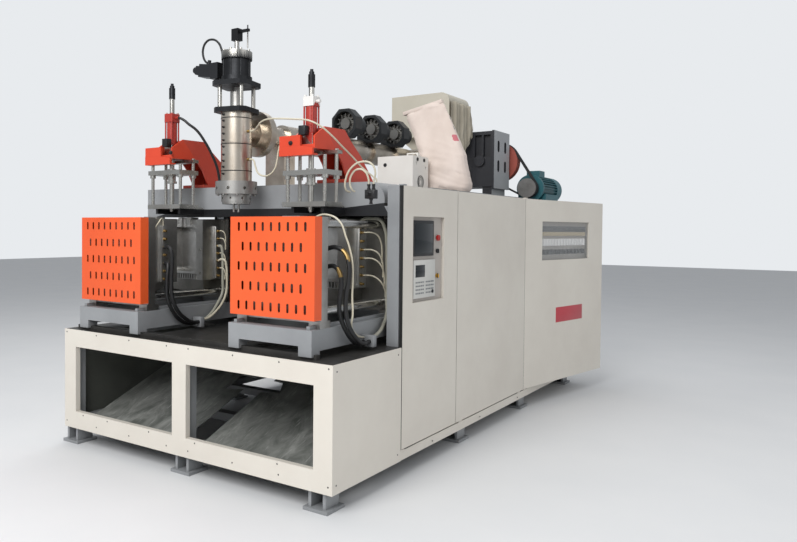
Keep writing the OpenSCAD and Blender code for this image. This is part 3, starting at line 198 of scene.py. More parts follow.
grey_enamel = enamel("blue_grey_machine_enamel", "9B9D9F", "8B8D8F", 0.42)
cover(grey_enamel, "base_frame", "upper_frame", "roof_plates", "left_carriage",
      "right_carriage")
black_enamel = enamel("black_machine_enamel", "1B1C1E", "26272A", 0.38, corner_shade=0.2)
cover_part(black_enamel, "upper_frame",
           lambda c: 1.65 < c.z < 1.7555 and c.y < -1.22 and c.x < 1.09)

# Deck plate: hot-rolled steel under oil and dust, dark with rubbed paths.
oily_plate, tree, surface = new_material("oiled_hot_rolled_plate")
place = add_node(tree, "TexCoord").outputs["Object"]
film = add_node(tree, "TexNoise", Vector=place, Scale=2.6, Detail=8.0, Roughness=0.65)
rubs = add_node(tree, "TexNoise", Vector=place, Scale=22.0, Detail=4.0, Distortion=0.6)
mixed = add_node(tree, "MixRGB", in0=film.outputs["Fac"], in1="2B2A29", in2="5A5855")
spots = add_node(tree, "MapRange", Value=rubs.outputs["Fac"], in1=0.55, in2=0.75, in3=0.0,
                 in4=0.5)
plate = add_node(tree, "MixRGB", in0=spots.outputs[0], in1=mixed.outputs[0], in2="191817")
sheen = add_node(tree, "MapRange", Value=film.outputs["Fac"], in1=0.3, in2=0.7, in3=0.3,
                 in4=0.6)
tree.links.new(add_node(tree, "BsdfPrincipled", Base_Color=plate.outputs[0], Metallic=0.6,
                        Roughness=sheen.outputs[0]).outputs[0], surface)
cover(oily_plate, "deck")

# Chutes
# Bent from cold-rolled sheet that mouldings and flash slide down: bare, smeared with oil and
# scuffed along the slope.
scuffed_sheet, tree, surface = new_material("scuffed_cold_rolled_sheet")
place = add_node(tree, "TexCoord").outputs["Object"]
along = add_node(tree, "Mapping", Vector=place, Scale=(3.0, 1.2, 3.0))
smear = add_node(tree, "TexNoise", Vector=along.outputs[0], Scale=2.2, Detail=9.0,
                 Roughness=0.68, Distortion=0.8)
streak = add_node(tree, "Mapping", Vector=place, Scale=(1.0, 0.12, 0.12),
                  Rotation=(0, 0, 0.35))
scuff = add_node(tree, "TexNoise", Vector=streak.outputs[0], Scale=70.0, Detail=6.0)
low = add_node(tree, "MapRange", Value=smear.outputs["Fac"], in1=0.38, in2=0.68)
stain = add_node(tree, "MixRGB", in0=low.outputs[0], in1="6A6D68", in2="A3A49F")
light = add_node(tree, "MapRange", Value=scuff.outputs["Fac"], in1=0.6, in2=0.72, in3=0.0,
                 in4=0.45)
sheet_colour = add_node(tree, "MixRGB", in0=light.outputs[0], in1=stain.outputs[0],
                        in2="D0D1CC")
gloss = add_node(tree, "MapRange", Value=smear.outputs["Fac"], in1=0.3, in2=0.7, in3=0.28,
                 in4=0.55)
dents = add_node(tree, "Bump", Strength=0.25, Distance=0.01, Height=smear.outputs["Fac"])
tree.links.new(add_node(tree, "BsdfPrincipled", Base_Color=sheet_colour.outputs[0],
                        Metallic=0.3, Roughness=gloss.outputs[0],
                        Normal=dents.outputs[0]).outputs[0], surface)
cover(scuffed_sheet, "chutes")

# Cream covers and cabinets
# Folded 1.5 mm sheet with a fine textured powder coat, which softens what it mirrors.
# The panels are screwed to the frame and the doors hang on pins.
cream_coat = enamel("cream_powder_coat", "E0DACF", "D8D1C6", 0.5, peel_mm=4.0, corner_shade=0.25,
                    corner_shade_m=0.03)
cover(cream_coat, "front_panel", "cover_panels", "control_cabinet", "electric_cabinet",
      "control_door", "electric_door")

# Screws of the covers
# Small blackened pan-head screws hold the front panel and the low side cover to the frame.
# Places are given from the front panel, which stands at this Y of the frame.
PANEL_Y = -2.215


def settle(piece, material, body):
    """Ends a piece: its place goes into its mesh, then material, soft edges and body."""
    bpy.ops.object.select_all(action="DESELECT")
    bpy.context.view_layer.objects.active = piece
    piece.select_set(True)
    bpy.ops.object.transform_apply(location=True, rotation=True, scale=True)
    piece.data.materials.clear()
    piece.data.materials.append(material)
    bpy.ops.object.shade_smooth_by_angle(angle=math.radians(35))
    if body:
        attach(piece, body)
    return piece


def eased_box(name, low, high, edge):
    """A box between two corners, given from the front panel, with eased edges."""
    bpy.ops.object.select_all(action="DESELECT")
    middle = [(a + b) / 2 for a, b in zip(low, high)]
    middle[1] += PANEL_Y
    bpy.ops.mesh.primitive_cube_add(size=1, location=middle)
    piece = bpy.context.active_object
    piece.name = name
    piece.scale = [b - a for a, b in zip(low, high)]
    bpy.ops.object.transform_apply(location=True, rotation=True, scale=True)
    bpy.ops.object.mode_set(mode="EDIT")
    bpy.ops.mesh.select_all(action="SELECT")
    bpy.ops.mesh.bevel(offset=edge, segments=2, affect="EDGES")
    bpy.ops.object.mode_set(mode="OBJECT")
    return piece


def turned(name, profile, steps=20):
    """A piece turned round Z through the origin, from (radius, height) pairs."""
    mesh = bpy.data.meshes.new(name)
    mesh.from_pydata([(r, 0, h) for r, h in profile],
                     [(i, i + 1) for i in range(len(profile) - 1)], [])
    piece = bpy.data.objects.new(name, mesh)
    bpy.context.scene.collection.objects.link(piece)
    bpy.ops.object.select_all(action="DESELECT")
    bpy.context.view_layer.objects.active = piece
    piece.select_set(True)
    bpy.ops.object.mode_set(mode="EDIT")
    bpy.ops.mesh.select_all(action="SELECT")
    bpy.ops.mesh.spin(steps=steps, angle=math.tau, center=(0, 0, 0), axis=(0, 0, 1))
    bpy.ops.mesh.select_all(action="SELECT")
    bpy.ops.mesh.remove_doubles(threshold=1e-6)
    bpy.ops.mesh.normals_make_consistent(inside=False)
    bpy.ops.object.mode_set(mode="OBJECT")
    return piece


def facing(direction, x, y, z):
    """Turns a piece's Z axis to a direction and moves it to a point from the front panel."""
    turn = Vector(direction).to_track_quat("Z", "Y").to_matrix().to_4x4()
    return Matrix.Translation((x, y + PANEL_Y, z)) @ turn


def repeat(piece, name, places):
    """Copies a modelled piece to each place, each with its own mesh, as one object."""
    copies = []
    for place in places:
        copy = piece.copy()
        copy.data = piece.data.copy()
        copy.data.transform(place)
        bpy.context.scene.collection.objects.link(copy)
        copies.append(copy)
    bpy.data.objects.remove(piece)
    bpy.ops.object.select_all(action="DESELECT")
    for copy in copies:
        copy.select_set(True)
    bpy.context.view_layer.objects.active = copies[0]
    bpy.ops.object.join()
    copies[0].name = name
    return copies[0]


black_oxide = enamel("black_oxide_steel", "1D1D1E", "2A2928", 0.4, corner_shade=0.2)
screw = turned("cover_screw", [(0, 0), (0.0055, 0), (0.0055, 0.0012), (0.0042, 0.0026),
                               (0.0018, 0.003), (0.0016, 0.0018), (0, 0.0018)], 12)
across = [-1.14, -0.80, -0.45, -0.08, 0.12, 0.50, 0.86, 1.21]
front_screws = [facing((0, -1, 0), x, 0.0014, z) for z in (0.165, 0.818) for x in across]
front_screws += [facing((0, -1, 0), x, 0.0014, 0.226) for x in (-0.95, -0.68, -0.25, 0.18, 0.85)]
side_screws = [facing((1, 0, 0), 1.2366, y, z) for y in (0.04, 0.72) for z in (0.17, 0.80)]
side_screws += [facing((1, 0, 0), 1.2366, y, 0.145) for y in (1.2, 2.0, 2.8, 3.6, 4.3)]
settle(repeat(screw, "cover_screws", front_screws + side_screws), black_oxide, "machine")

# Switchgear
# Snap-on modules of pale moulded plastic in rows on a galvanised plate, between slotted
# PVC ducts, seen through the door's window.


def plastic(name, base, roughness=0.4, tint=None, grain_mm=0.8):
    """Injection-moulded plastic: spark-eroded grain, faint flow marks of a second tint."""
    material, tree, surface = new_material(name)
    place = add_node(tree, "TexCoord").outputs["Object"]
    flow = add_node(tree, "TexNoise", Vector=place, Scale=9.0, Detail=3.0)
    colour = add_node(tree, "MixRGB", in0=flow.outputs["Fac"], in1=base, in2=tint or base)
    grain = add_node(tree, "TexNoise", Vector=place, Scale=1000 / grain_mm, Detail=0.0)
    bump = add_node(tree, "Bump", Strength=0.1, Distance=0.0003, Height=grain.outputs["Fac"])
    tree.links.new(add_node(tree, "BsdfPrincipled", Base_Color=colour.outputs[0],
                            Roughness=roughness, Normal=bump.outputs[0]).outputs[0], surface)
    return material


pale_abs = plastic("pale_grey_moulded_abs", "D6D5D0", tint="C9C8C2")
cover(pale_abs, "electric_gear")

# Operator panel
# Coated plate behind the control window with the screen, the parison unit and the controls.
# It is screwed to the inside of the door; the stop button and selectors clamp through it.
panel_coat = enamel("beige_grey_panel_coat", "B8B1AA", "ADA69F", 0.45, corner_shade=0.1)
cover(panel_coat, "operator_panel")
red_plastic = plastic("red_moulded_plastic", "B3201C", 0.3, "A31A18")
black_plastic = plastic("black_moulded_plastic", "17181A", 0.45, "202124")
yellow_plastic = plastic("yellow_moulded_plastic", "D9A521", 0.35, "CE991C")
cover(red_plastic, "estop_button")
cover(black_plastic, "mode_selector", "setting_knob")
cover(yellow_plastic, "heat_selector")

# Screen and keypad of the operator panel
# A dark glass screen in a moulded bezel over a pale parison unit with a grid of plain keys.
# Nothing is written on them.
screen_glass = plastic("dark_screen_glass", "0E1518", 0.08, "141D21")
bezel = eased_box("screen_bezel", (1.226, 0.916, 1.410), (1.232, 1.200, 1.645), 0.002)
settle(bezel, black_plastic, "control_door")
glass = eased_box("screen_glass", (1.228, 0.934, 1.430), (1.2332, 1.182, 1.625), 0.0008)
settle(glass, screen_glass, "control_door")
unit = eased_box("parison_unit_face", (1.226, 0.920, 1.134), (1.231, 1.226, 1.385), 0.002)
settle(unit, pale_abs, "control_door")
display = eased_box("parison_unit_display", (1.229, 0.945, 1.272), (1.2325, 1.075, 1.352), 0.001)
settle(display, screen_glass, "control_door")
key = eased_box("key", (0, -0.007 - PANEL_Y, -0.005), (0.0025, 0.007 - PANEL_Y, 0.005), 0.0012)
keys = [Matrix.Translation((1.2305, y + PANEL_Y, z))
        for y in (1.098, 1.122, 1.146, 1.170, 1.194) for z in (1.166, 1.190, 1.214, 1.238)]
keys += [Matrix.Translation((1.2305, y + PANEL_Y, z))
         for y in (0.956, 0.980, 1.004, 1.028, 1.052) for z in (1.166, 1.190, 1.214, 1.238)]
grey_keys = plastic("grey_moulded_keys", "6F7376", 0.45, "65696C")
settle(repeat(key, "keypad", keys), grey_keys, "control_door")
collar = turned("control_collar", [(0, 0), (0.0165, 0), (0.0165, 0.002), (0.0135, 0.0042),
                                   (0.0085, 0.0042), (0.0085, 0.001), (0, 0.001)], 20)
collars = [facing((1, 0, 0), 1.2275, 1.271, z) for z in (1.44, 1.27)]
settle(repeat(collar, "control_collars", collars), black_plastic, "control_door")

# Module colours of the switchgear
# Every few modules in a row are breakers or relays moulded in another plastic.
# They snap on the same rails as the pale ones beside them.
blue_plastic = plastic("blue_moulded_plastic", "3C6C9A", 0.4, "356291")
for material, pitch, row_z, every, which in (
        (blue_plastic, 0.034, 1.60, 9, 2), (yellow_plastic, 0.034, 1.60, 9, 6),
        (black_plastic, 0.046, 1.50, 3, 1), (red_plastic, 0.046, 1.50, 8, 5)):
    cover_part(material, "electric_gear",
               lambda c: abs(c.z - row_z) < 0.055 and c.x > 0.86
               and int((c.y - 0.789) / pitch) % every == which)

# Platens, moulds and guards
# Milled steel platens slide on ground tie bars and carry aluminium mould halves.
# Bent guards with rows of slots, in bright orange enamel, are screwed before them.


def bare_metal(name, base, dark, roughness, along=(1, 1, 1), line_mm=1.2, smear=0.5):
    """Machined metal: fine tool lines along one direction and a thin uneven oil film."""
    material, tree, surface = new_material(name)
    place = add_node(tree, "TexCoord").outputs["Object"]
    stretched = add_node(tree, "Mapping", Vector=place, Scale=along)
    lines = add_node(tree, "TexNoise", Vector=stretched.outputs[0], Scale=1000 / line_mm,
                     Detail=2.0)
    film = add_node(tree, "TexNoise", Vector=place, Scale=6.0, Detail=6.0, Roughness=0.62)
    oil = add_node(tree, "MapRange", Value=film.outputs["Fac"], in1=0.42, in2=0.72, in3=0.0,
                   in4=smear)
    colour = add_node(tree, "MixRGB", in0=oil.outputs[0], in1=base, in2=dark)
    rough = add_node(tree, "MapRange", Value=film.outputs["Fac"], in1=0.3, in2=0.7,
                     in3=roughness * 0.8, in4=roughness * 1.3)
    bump = add_node(tree, "Bump", Strength=0.15, Distance=0.0004, Height=lines.outputs["Fac"])
    shader = add_node(tree, "BsdfPrincipled", Base_Color=colour.outputs[0], Metallic=1.0,
                      Roughness=rough.outputs[0], Normal=bump.outputs[0])
    tree.links.new(shader.outputs[0], surface)
    return material


milled_steel = bare_metal("milled_steel", "BDBBB7", "77736C", 0.36, along=(1, 1, 0.05))
ground_bar = bare_metal("ground_chromed_bar", "D2D2D0", "A5A29C", 0.2, along=(1, 0.03, 1))
# The back platens take a darker copy of the milled steel, a painted shade of the machine's inside.
back_platen_shade_steel = bare_metal("shaded_milled_steel", "8A8883", "55524C", 0.42, along=(1, 1, 0.05))
mould_alloy = bare_metal("milled_mould_aluminium", "C9C8C5", "7A766E", 0.38,
                         along=(0.05, 1, 1))
for side in ("left", "right"):
    cover(milled_steel, side + "_front_platen")
    cover_part(ground_bar, side + "_front_platen",
               lambda c: c.y > -1.99 and (c.z < 1.15 or c.z > 1.56))
    cover(back_platen_shade_steel, side + "_back_platen")
    cover(mould_alloy, side + "_front_mould", side + "_back_mould")

orange_enamel = enamel("bright_orange_enamel", "F0622F", "E65A2B", 0.36, corner_shade=0.3,
                       corner_shade_m=0.03)
cover(orange_enamel, "left_guard", "right_guard")

# Arms, pin stands and blow pins
# Gooseneck arms welded from plate in orange-red enamel carry the stands of machined plate
# and ground columns; the pin cylinders are red tubes between plated caps.
arm_enamel = enamel("orange_red_enamel", "CC4A36", "BE4230", 0.38, corner_shade=0.35, corner_shade_m=0.05)
tube_red = enamel("red_tube_enamel", "B03A30", "A5342B", 0.34, corner_shade=0.2)
plated = bare_metal("nickel_plated_steel", "C6C4BE", "8A867E", 0.26, along=(1, 1, 0.05))
cap_enamel = enamel("white_cap_enamel", "E4E2DE", "D8D5D0", 0.34, corner_shade=0.3)
tip_enamel = enamel("bright_red_enamel", "DB4A2E", "CF4228", 0.32, corner_shade=0.3)
blackened = bare_metal("blackened_steel", "3A3B3D", "232324", 0.42, smear=0.6)
for side in ("left", "right"):
    cover(arm_enamel, side + "_arm")
    cover(plated, side + "_pin_stand", side + "_blow_pin")
    cover(plated, side + "_pin_cylinder")
    lift = 0.05 if side == "left" else 0.0
    cover_part(tube_red, side + "_pin_cylinder", lambda c: 2.17 < c.z - lift < 2.40)
    cover_part(cap_enamel, side + "_pin_cylinder", lambda c: c.z - lift > 2.40)
    cover_part(blackened, side + "_blow_pin", lambda c: c.z - lift > 2.50)
    cover_part(tip_enamel, side + "_arm", lambda c: c.y < -1.60)

# Die head
# Stainless bands clamped round the heated cylinder, tinted straw by the heat.
# A blackened bridge and the parison cylinder with its servo valve stand on it.
band_steel = bare_metal("heat_tinted_stainless_band", "D3CABD", "9C8F7E", 0.3,
                        along=(1, 1, 0.04), smear=0.6)
black_enamel_gloss = enamel("black_gloss_enamel", "16171A", "1F2023", 0.28, corner_shade=0.15)
cover(band_steel, "head_body")
cover(milled_steel, "die_ring", "parison_rod")
cover(blackened, "head_bridge", "parison_cylinder")
cover(black_enamel_gloss, "servo_valve")
cover_part(plated, "head_bridge", lambda c: 2.437 < c.z < 2.562)
cover_part(plated, "parison_cylinder", lambda c: c.z > 2.785)
cover_part(blackened, "parison_rod", lambda c: c.z > 2.88)

# Barrel and blowers
# Ceramic heater bands in perforated stainless covers round the barrel; each zone has a
# pressed blower, enamelled black.
cover(band_steel, "barrel")
blower_enamel = enamel("black_blower_enamel", "1C1E20", "2A2C2D", 0.35, corner_shade=0.2)
cover(blower_enamel, "blowers")
wheel_alloy = bare_metal("cast_wheel_aluminium", "8E8D89", "55534F", 0.45)
cover(wheel_alloy, "blower_wheel_1", "blower_wheel_2", "blower_wheel_3")

# Hopper
# Welded sheet steel, open on top and sprayed beige inside and out.
# It stands on the throat of the barrel.
hopper_enamel = enamel("beige_enamel", "CBC5B6", "C0B9A9", 0.48, corner_shade=0.3)
cover(hopper_enamel, "hopper")

# Gearbox and drive
# Ribbed iron castings under dark grey enamel, a pulley still in red primer and another bare,
# four rubber belts, and a finned motor in teal enamel.
casting = enamel("dark_grey_casting_enamel", "2E2F34", "27282D", 0.45, peel_mm=9.0, corner_shade=0.3)
primer = enamel("red_oxide_primer", "AD5546", "9C4A3D", 0.55, corner_shade=0.4)
bare_iron = bare_metal("machined_cast_iron", "8C8B89", "5A5855", 0.4, smear=0.7)
belt_rubber = plastic("black_belt_rubber", "1A1A1B", 0.7, "242425", grain_mm=1.5)
teal_enamel = enamel("teal_motor_enamel", "2E6870", "285E67", 0.36, corner_shade=0.3, corner_shade_m=0.03)
cover(casting, "gearbox")
cover_enamel = enamel("pale_grey_cover_enamel", "A9ABAC", "9B9DA0", 0.42, corner_shade=0.5)
wrap(nodes["gearbox"], cover_enamel,
     lambda face: face.normal.x > 0.9 and face.center.x > 0.55)
cover(primer, "gearbox_pulley")
cover(bare_iron, "motor_pulley")
cover(belt_rubber, "drive_belts")
cover(teal_enamel, "drive_motor")

# White unit on the roof
# A sheet steel case with a white sprayed finish that stands loose beside the sack.
white_enamel = enamel("white_unit_enamel", "E6E3DD", "DCD8D1", 0.42, corner_shade=0.2)
cover(white_enamel, "aux_box")

# Water manifolds and hoses of the moulds
# An aluminium manifold with seven brass fittings on the cabinet side of each mould half.
# Black rubber water hoses and thin clear tubes hang from them to a bulkhead on the carriage.
MANIFOLD_Y = {"front": 0.303, "back": 0.847}
MOULD_SIDE = {"right": 0.850, "left": -0.460}


def hose(name, points, diameter, material, bodies):
    """A round hose on a smooth line through its points, which are given from the front panel."""
    curve = bpy.data.curves.new(name, "CURVE")
    curve.dimensions = "3D"
    curve.bevel_depth = diameter / 2
    curve.bevel_resolution = 3
    curve.resolution_u = 6
    curve.use_fill_caps = True
    line = curve.splines.new("BEZIER")
    line.bezier_points.add(len(points) - 1)
    for knot, (x, y, z) in zip(line.bezier_points, points):
        knot.co = (x, y + PANEL_Y, z)
        knot.handle_left_type = knot.handle_right_type = "AUTO"
    piece = bpy.data.objects.new(name, curve)
    bpy.context.scene.collection.objects.link(piece)
    bpy.context.view_layer.update()
    knots = line.bezier_points
    path = [knots[0].co.copy()]
    for a, b in zip(knots, knots[1:]):
        path += geometry.interpolate_bezier(a.co, a.handle_right, b.handle_left, b.co, 9)[1:]
    bpy.ops.object.select_all(action="DESELECT")
    bpy.context.view_layer.objects.active = piece
    piece.select_set(True)
    bpy.ops.object.convert(target="MESH")
    piece = bpy.context.active_object
    settle(piece, material, bodies if isinstance(bodies, str) else None)
    if not isinstance(bodies, str):
        x, y, z = path[0]
        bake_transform(piece)
    return piece


brass = bare_metal("cast_brass", "A98F5E", "6E5630", 0.36, smear=0.5)
# Rubber and clear tube have a dull skin; the clear tube has yellowed.
hose_rubber = plastic("black_hose_rubber", "151516", 0.5, "1E1E1F", grain_mm=1.2)
clear_tube = plastic("yellowed_clear_tube", "CFC8B4", 0.3, "BDB59F")
grey_tube = plastic("grey_water_hose", "A5A392", 0.45, "96948A")
for side, at in MOULD_SIDE.items():
    for half, y in MANIFOLD_Y.items():
        rail = eased_box(f"{side}_{half}_manifold", (at, y - 0.022, 1.202),
                         (at + 0.022, y + 0.022, 1.600), 0.002)
        settle(rail, mould_alloy, f"{side}_{half}_clamp")
        nipple = turned("nipple", [(0, 0), (0.011, 0), (0.011, 0.009), (0.0065, 0.011),
                                   (0.0065, 0.017), (0.008, 0.018), (0.008, 0.024), (0, 0.024)],
                        12)
        places = [facing((1, 0, 0), at + 0.0215, y, 1.220 + 0.057 * i) for i in range(7)]
        settle(repeat(nipple, f"{side}_{half}_fittings", places), brass,
               f"{side}_{half}_clamp")
for side, x0, x1 in (("right", 1.055, 1.150), ("left", -0.415, -0.332)):
    bulkhead = eased_box(f"{side}_hose_bulkhead", (x0, 0.560, 0.858), (x1, 0.600, 0.930), 0.003)
    settle(bulkhead, grey_enamel, f"{side}_carriage")

front, carriage = "right_front_clamp", "right_carriage"
upper = hose("right_hose_upper", [
    (0.878, 0.303, 1.448), (0.925, 0.303, 1.452), (0.975, 0.303, 1.466), (1.040, 0.310, 1.476),
    (1.100, 0.315, 1.445), (1.127, 0.315, 1.380), (1.128, 0.315, 1.290), (1.112, 0.315, 1.200),
    (1.110, 0.315, 1.090), (1.130, 0.330, 1.000), (1.157, 0.370, 0.930), (1.152, 0.440, 0.897),
    (1.128, 0.510, 0.890), (1.122, 0.560, 0.892)], 0.028, hose_rubber, (front, carriage))
lower = hose("right_hose_lower", [
    (0.878, 0.303, 1.334), (0.925, 0.303, 1.340), (0.985, 0.300, 1.360), (1.045, 0.292, 1.362),
    (1.085, 0.287, 1.320), (1.095, 0.286, 1.262), (1.083, 0.286, 1.168), (1.078, 0.300, 1.080),
    (1.093, 0.335, 0.990), (1.100, 0.420, 0.905), (1.088, 0.490, 0.886),
    (1.080, 0.560, 0.886)], 0.028, hose_rubber, (front, carriage))
# Brass-coloured faces on the top of each hose bend are a painted reflection; no fitting stands
# there.
wrap(upper, brass, lambda face: face.center.x > 1.085 and face.center.z > 1.40)
wrap(lower, brass, lambda face: face.center.x > 1.07 and face.center.z > 1.30)
hose("right_front_air_tube", [
    (0.861, 0.303, 1.600), (0.866, 0.303, 1.630), (0.900, 0.308, 1.660), (0.980, 0.318, 1.668),
    (1.060, 0.322, 1.625), (1.098, 0.326, 1.540), (1.120, 0.336, 1.470), (1.132, 0.346, 1.390),
    (1.136, 0.346, 1.280), (1.132, 0.348, 1.180), (1.134, 0.352, 1.090), (1.118, 0.366, 1.000),
    (1.116, 0.420, 0.950), (1.096, 0.500, 0.926), (1.080, 0.560, 0.915)],
    0.012, clear_tube, (front, carriage))
back = "right_back_clamp"
hose("right_back_water_hose", [
    (0.861, 0.847, 1.600), (0.866, 0.847, 1.628), (0.895, 0.849, 1.653), (0.950, 0.852, 1.656),
    (1.010, 0.860, 1.646), (1.033, 0.884, 1.590), (1.036, 0.905, 1.480), (1.036, 0.910, 1.350),
    (1.036, 0.912, 1.210), (1.042, 0.900, 1.120), (1.062, 0.870, 1.045), (1.078, 0.810, 0.980),
    (1.090, 0.730, 0.930), (1.082, 0.660, 0.903), (1.078, 0.600, 0.898)],
    0.022, grey_tube, (back, carriage))
for number, (z, fall) in enumerate(((1.562, 0.20), (1.448, 0.18), (1.391, 0.20), (1.277, 0.14))):
    lean = 0.006 * number
    hose(f"right_branch_tube_{number + 1}", [
        (0.878, 0.847, z), (0.920, 0.847, z + 0.002), (0.960, 0.850, z), (0.992, 0.860, z - 0.016),
        (1.008 + lean, 0.874, z - 0.055), (1.012 + lean, 0.884 + lean, z - 0.11),
        (1.010 + lean, 0.888 + lean, z - fall)], 0.010, clear_tube, back)

front, back, carriage = "left_front_clamp", "left_back_clamp", "left_carriage"
upper = hose("left_hose_upper", [
    (-0.433, 0.303, 1.448), (-0.398, 0.303, 1.450), (-0.374, 0.303, 1.435),
    (-0.360, 0.303, 1.390), (-0.358, 0.303, 1.320), (-0.364, 0.303, 1.217),
    (-0.362, 0.310, 1.100), (-0.352, 0.350, 1.000), (-0.347, 0.430, 0.930),
    (-0.350, 0.500, 0.900), (-0.352, 0.560, 0.896)], 0.028, hose_rubber, (front, carriage))
lower = hose("left_hose_lower", [
    (-0.433, 0.303, 1.334), (-0.404, 0.302, 1.334), (-0.393, 0.297, 1.318),
    (-0.388, 0.290, 1.280), (-0.392, 0.286, 1.190), (-0.395, 0.296, 1.090),
    (-0.388, 0.340, 0.990), (-0.384, 0.420, 0.915), (-0.388, 0.500, 0.888),
    (-0.390, 0.560, 0.886)], 0.028, hose_rubber, (front, carriage))
hose("left_back_water_hose", [
    (-0.433, 0.847, 1.448), (-0.404, 0.848, 1.446), (-0.396, 0.851, 1.425),
    (-0.394, 0.855, 1.380), (-0.396, 0.860, 1.290), (-0.400, 0.864, 1.180),
    (-0.400, 0.860, 1.090), (-0.396, 0.810, 1.020), (-0.388, 0.730, 0.945),
    (-0.388, 0.660, 0.907), (-0.388, 0.600, 0.902)], 0.022, grey_tube, (back, carriage))
hose("left_back_air_hose", [
    (-0.433, 0.847, 1.334), (-0.400, 0.850, 1.346), (-0.376, 0.858, 1.340),
    (-0.364, 0.866, 1.290), (-0.362, 0.870, 1.200), (-0.366, 0.870, 1.110),
    (-0.362, 0.830, 1.030), (-0.356, 0.740, 0.955), (-0.358, 0.660, 0.914),
    (-0.358, 0.600, 0.908)], 0.018, clear_tube, (back, carriage))
for number, z in enumerate((1.562, 1.505, 1.391, 1.277)):
    hose(f"left_branch_tube_{number + 1}", [
        (-0.433, 0.847, z), (-0.402, 0.848, z + 0.003), (-0.384, 0.853, z - 0.004),
        (-0.374, 0.861, z - 0.030), (-0.374 - 0.003 * number, 0.868, z - 0.085)],
        0.009, clear_tube, back)
hose("left_air_loop", [
    (-0.449, 0.303, 1.600), (-0.448, 0.301, 1.625), (-0.436, 0.288, 1.646),
    (-0.424, 0.262, 1.648), (-0.420, 0.238, 1.625), (-0.428, 0.215, 1.590),
    (-0.436, 0.206, 1.560)], 0.009, clear_tube, front)

# Wires and hoses of the die head
# Heater leads in pale glass-fibre sleeving loop from brass glands on the head to the right arm
# and to the end of the beam; a black lead loops over the servo valve.
gland = turned("gland", [(0, 0), (0.011, 0), (0.011, 0.012), (0.008, 0.014), (0.008, 0.021),
                         (0, 0.021)], 12)
settle(repeat(gland, "head_glands", [facing((1, 0, 0), 0.104, 0.575, z) for z in (2.260, 2.065)]),
       brass, "machine")
hose("beam_heater_lead", [
    (0.125, 0.575, 2.260), (0.160, 0.573, 2.261), (0.230, 0.530, 2.275), (0.300, 0.490, 2.300),
    (0.384, 0.472, 2.310), (0.460, 0.466, 2.305), (0.536, 0.466, 2.298), (0.600, 0.466, 2.290),
    (0.660, 0.466, 2.283), (0.720, 0.472, 2.270), (0.775, 0.500, 2.240), (0.815, 0.560, 2.190),
    (0.840, 0.660, 2.120), (0.855, 0.770, 2.055), (0.880, 0.850, 1.990), (0.925, 0.900, 1.940),
    (0.950, 0.906, 1.920), (0.952, 0.906, 1.895)], 0.012, clear_tube, "machine")
hose("arm_heater_lead", [
    (0.125, 0.575, 2.065), (0.155, 0.574, 2.060), (0.190, 0.560, 2.010), (0.225, 0.545, 1.965),
    (0.280, 0.535, 1.942), (0.335, 0.530, 1.945), (0.385, 0.528, 1.980), (0.408, 0.528, 2.040),
    (0.418, 0.529, 2.100), (0.436, 0.530, 2.142), (0.465, 0.530, 2.150)],
    0.012, clear_tube, "machine")
hose("valve_lead", [
    (-0.160, 0.600, 2.759), (-0.160, 0.600, 2.800), (-0.172, 0.600, 2.870),
    (-0.205, 0.597, 2.925), (-0.255, 0.592, 2.950), (-0.310, 0.588, 2.940),
    (-0.342, 0.587, 2.895), (-0.340, 0.586, 2.840), (-0.318, 0.585, 2.800),
    (-0.299, 0.587, 2.785)], 0.016, hose_rubber, "machine")
hose("left_cap_hose", [
    (-0.600, 0.575, 2.411), (-0.575, 0.577, 2.408), (-0.540, 0.590, 2.390),
    (-0.510, 0.605, 2.362), (-0.470, 0.645, 2.320), (-0.430, 0.695, 2.235),
    (-0.405, 0.745, 2.140), (-0.392, 0.790, 2.040), (-0.390, 0.812, 1.950),
    (-0.390, 0.815, 1.896)], 0.020, hose_rubber, "machine")

# Window, plate and gap shade of the cabinet doors
# The electric door has a clear acrylic pane, which hardly mirrors, and a bare red enamelled
# plate riveted on. The edge faces of the doors and cabinet sides are painted black, a painted
# shade in the gaps between them.
PANE_ANGLE = math.radians(10.7)
PANE_DEPTH = (-0.0078, -0.0022)
PANE_ALONG = (0.279, 1.172)
PANE_UP = (1.316, 1.666)
GAP_SHADE_REACH = 0.03
ELECTRIC_HINGE = Vector((1.228, 0.745, 0))
clear_acrylic, tree, surface = new_material("clear_acrylic_pane")
tree.links.new(add_node(tree, "BsdfPrincipled", Base_Color="F2F5F5", Roughness=0.05,
                        Alpha=0.12).outputs[0], surface)
opened = Matrix.Rotation(-PANE_ANGLE, 4, "Z")


def in_pane(centre):
    """Whether a face of the electric door belongs to its pane."""
    along = opened.inverted() @ (centre - ELECTRIC_HINGE)
    spans = zip(along, (PANE_DEPTH, PANE_ALONG, PANE_UP))
    return all(low < value < high for value, (low, high) in spans)


cover_part(clear_acrylic, "electric_door", in_pane)
door_gap_shade = plastic("black_door_gap_shade", "131313", 0.7, "1B1B1B")
# Faces near the door and cabinet edges turn black, a painted shade in the gaps between them.
for name in ("control_door", "electric_door", "cover_panels", "control_cabinet"):
    reach = [point.co.y for point in nodes[name].data.vertices]
    low, high = min(reach), max(reach)
    wrap(nodes[name], door_gap_shade,
         lambda face: abs(face.normal.y) > 0.9 and face.center.x > 1.2
         and min(face.center.y - low, high - face.center.y) < GAP_SHADE_REACH)
plate_red = enamel("red_plate_enamel", "C2454E", "B93F49", 0.35, corner_shade=0.1)
plate = eased_box("bare_plate", (1.2378, 0.553 - PANEL_Y, 0.731),
                  (1.2392, 1.063 - PANEL_Y, 0.871), 0.0005)
plate.data.transform(Matrix.Translation(ELECTRIC_HINGE) @ opened
                     @ Matrix.Translation((-1.228, -0.012, 0)))
settle(plate, plate_red, "electric_door")

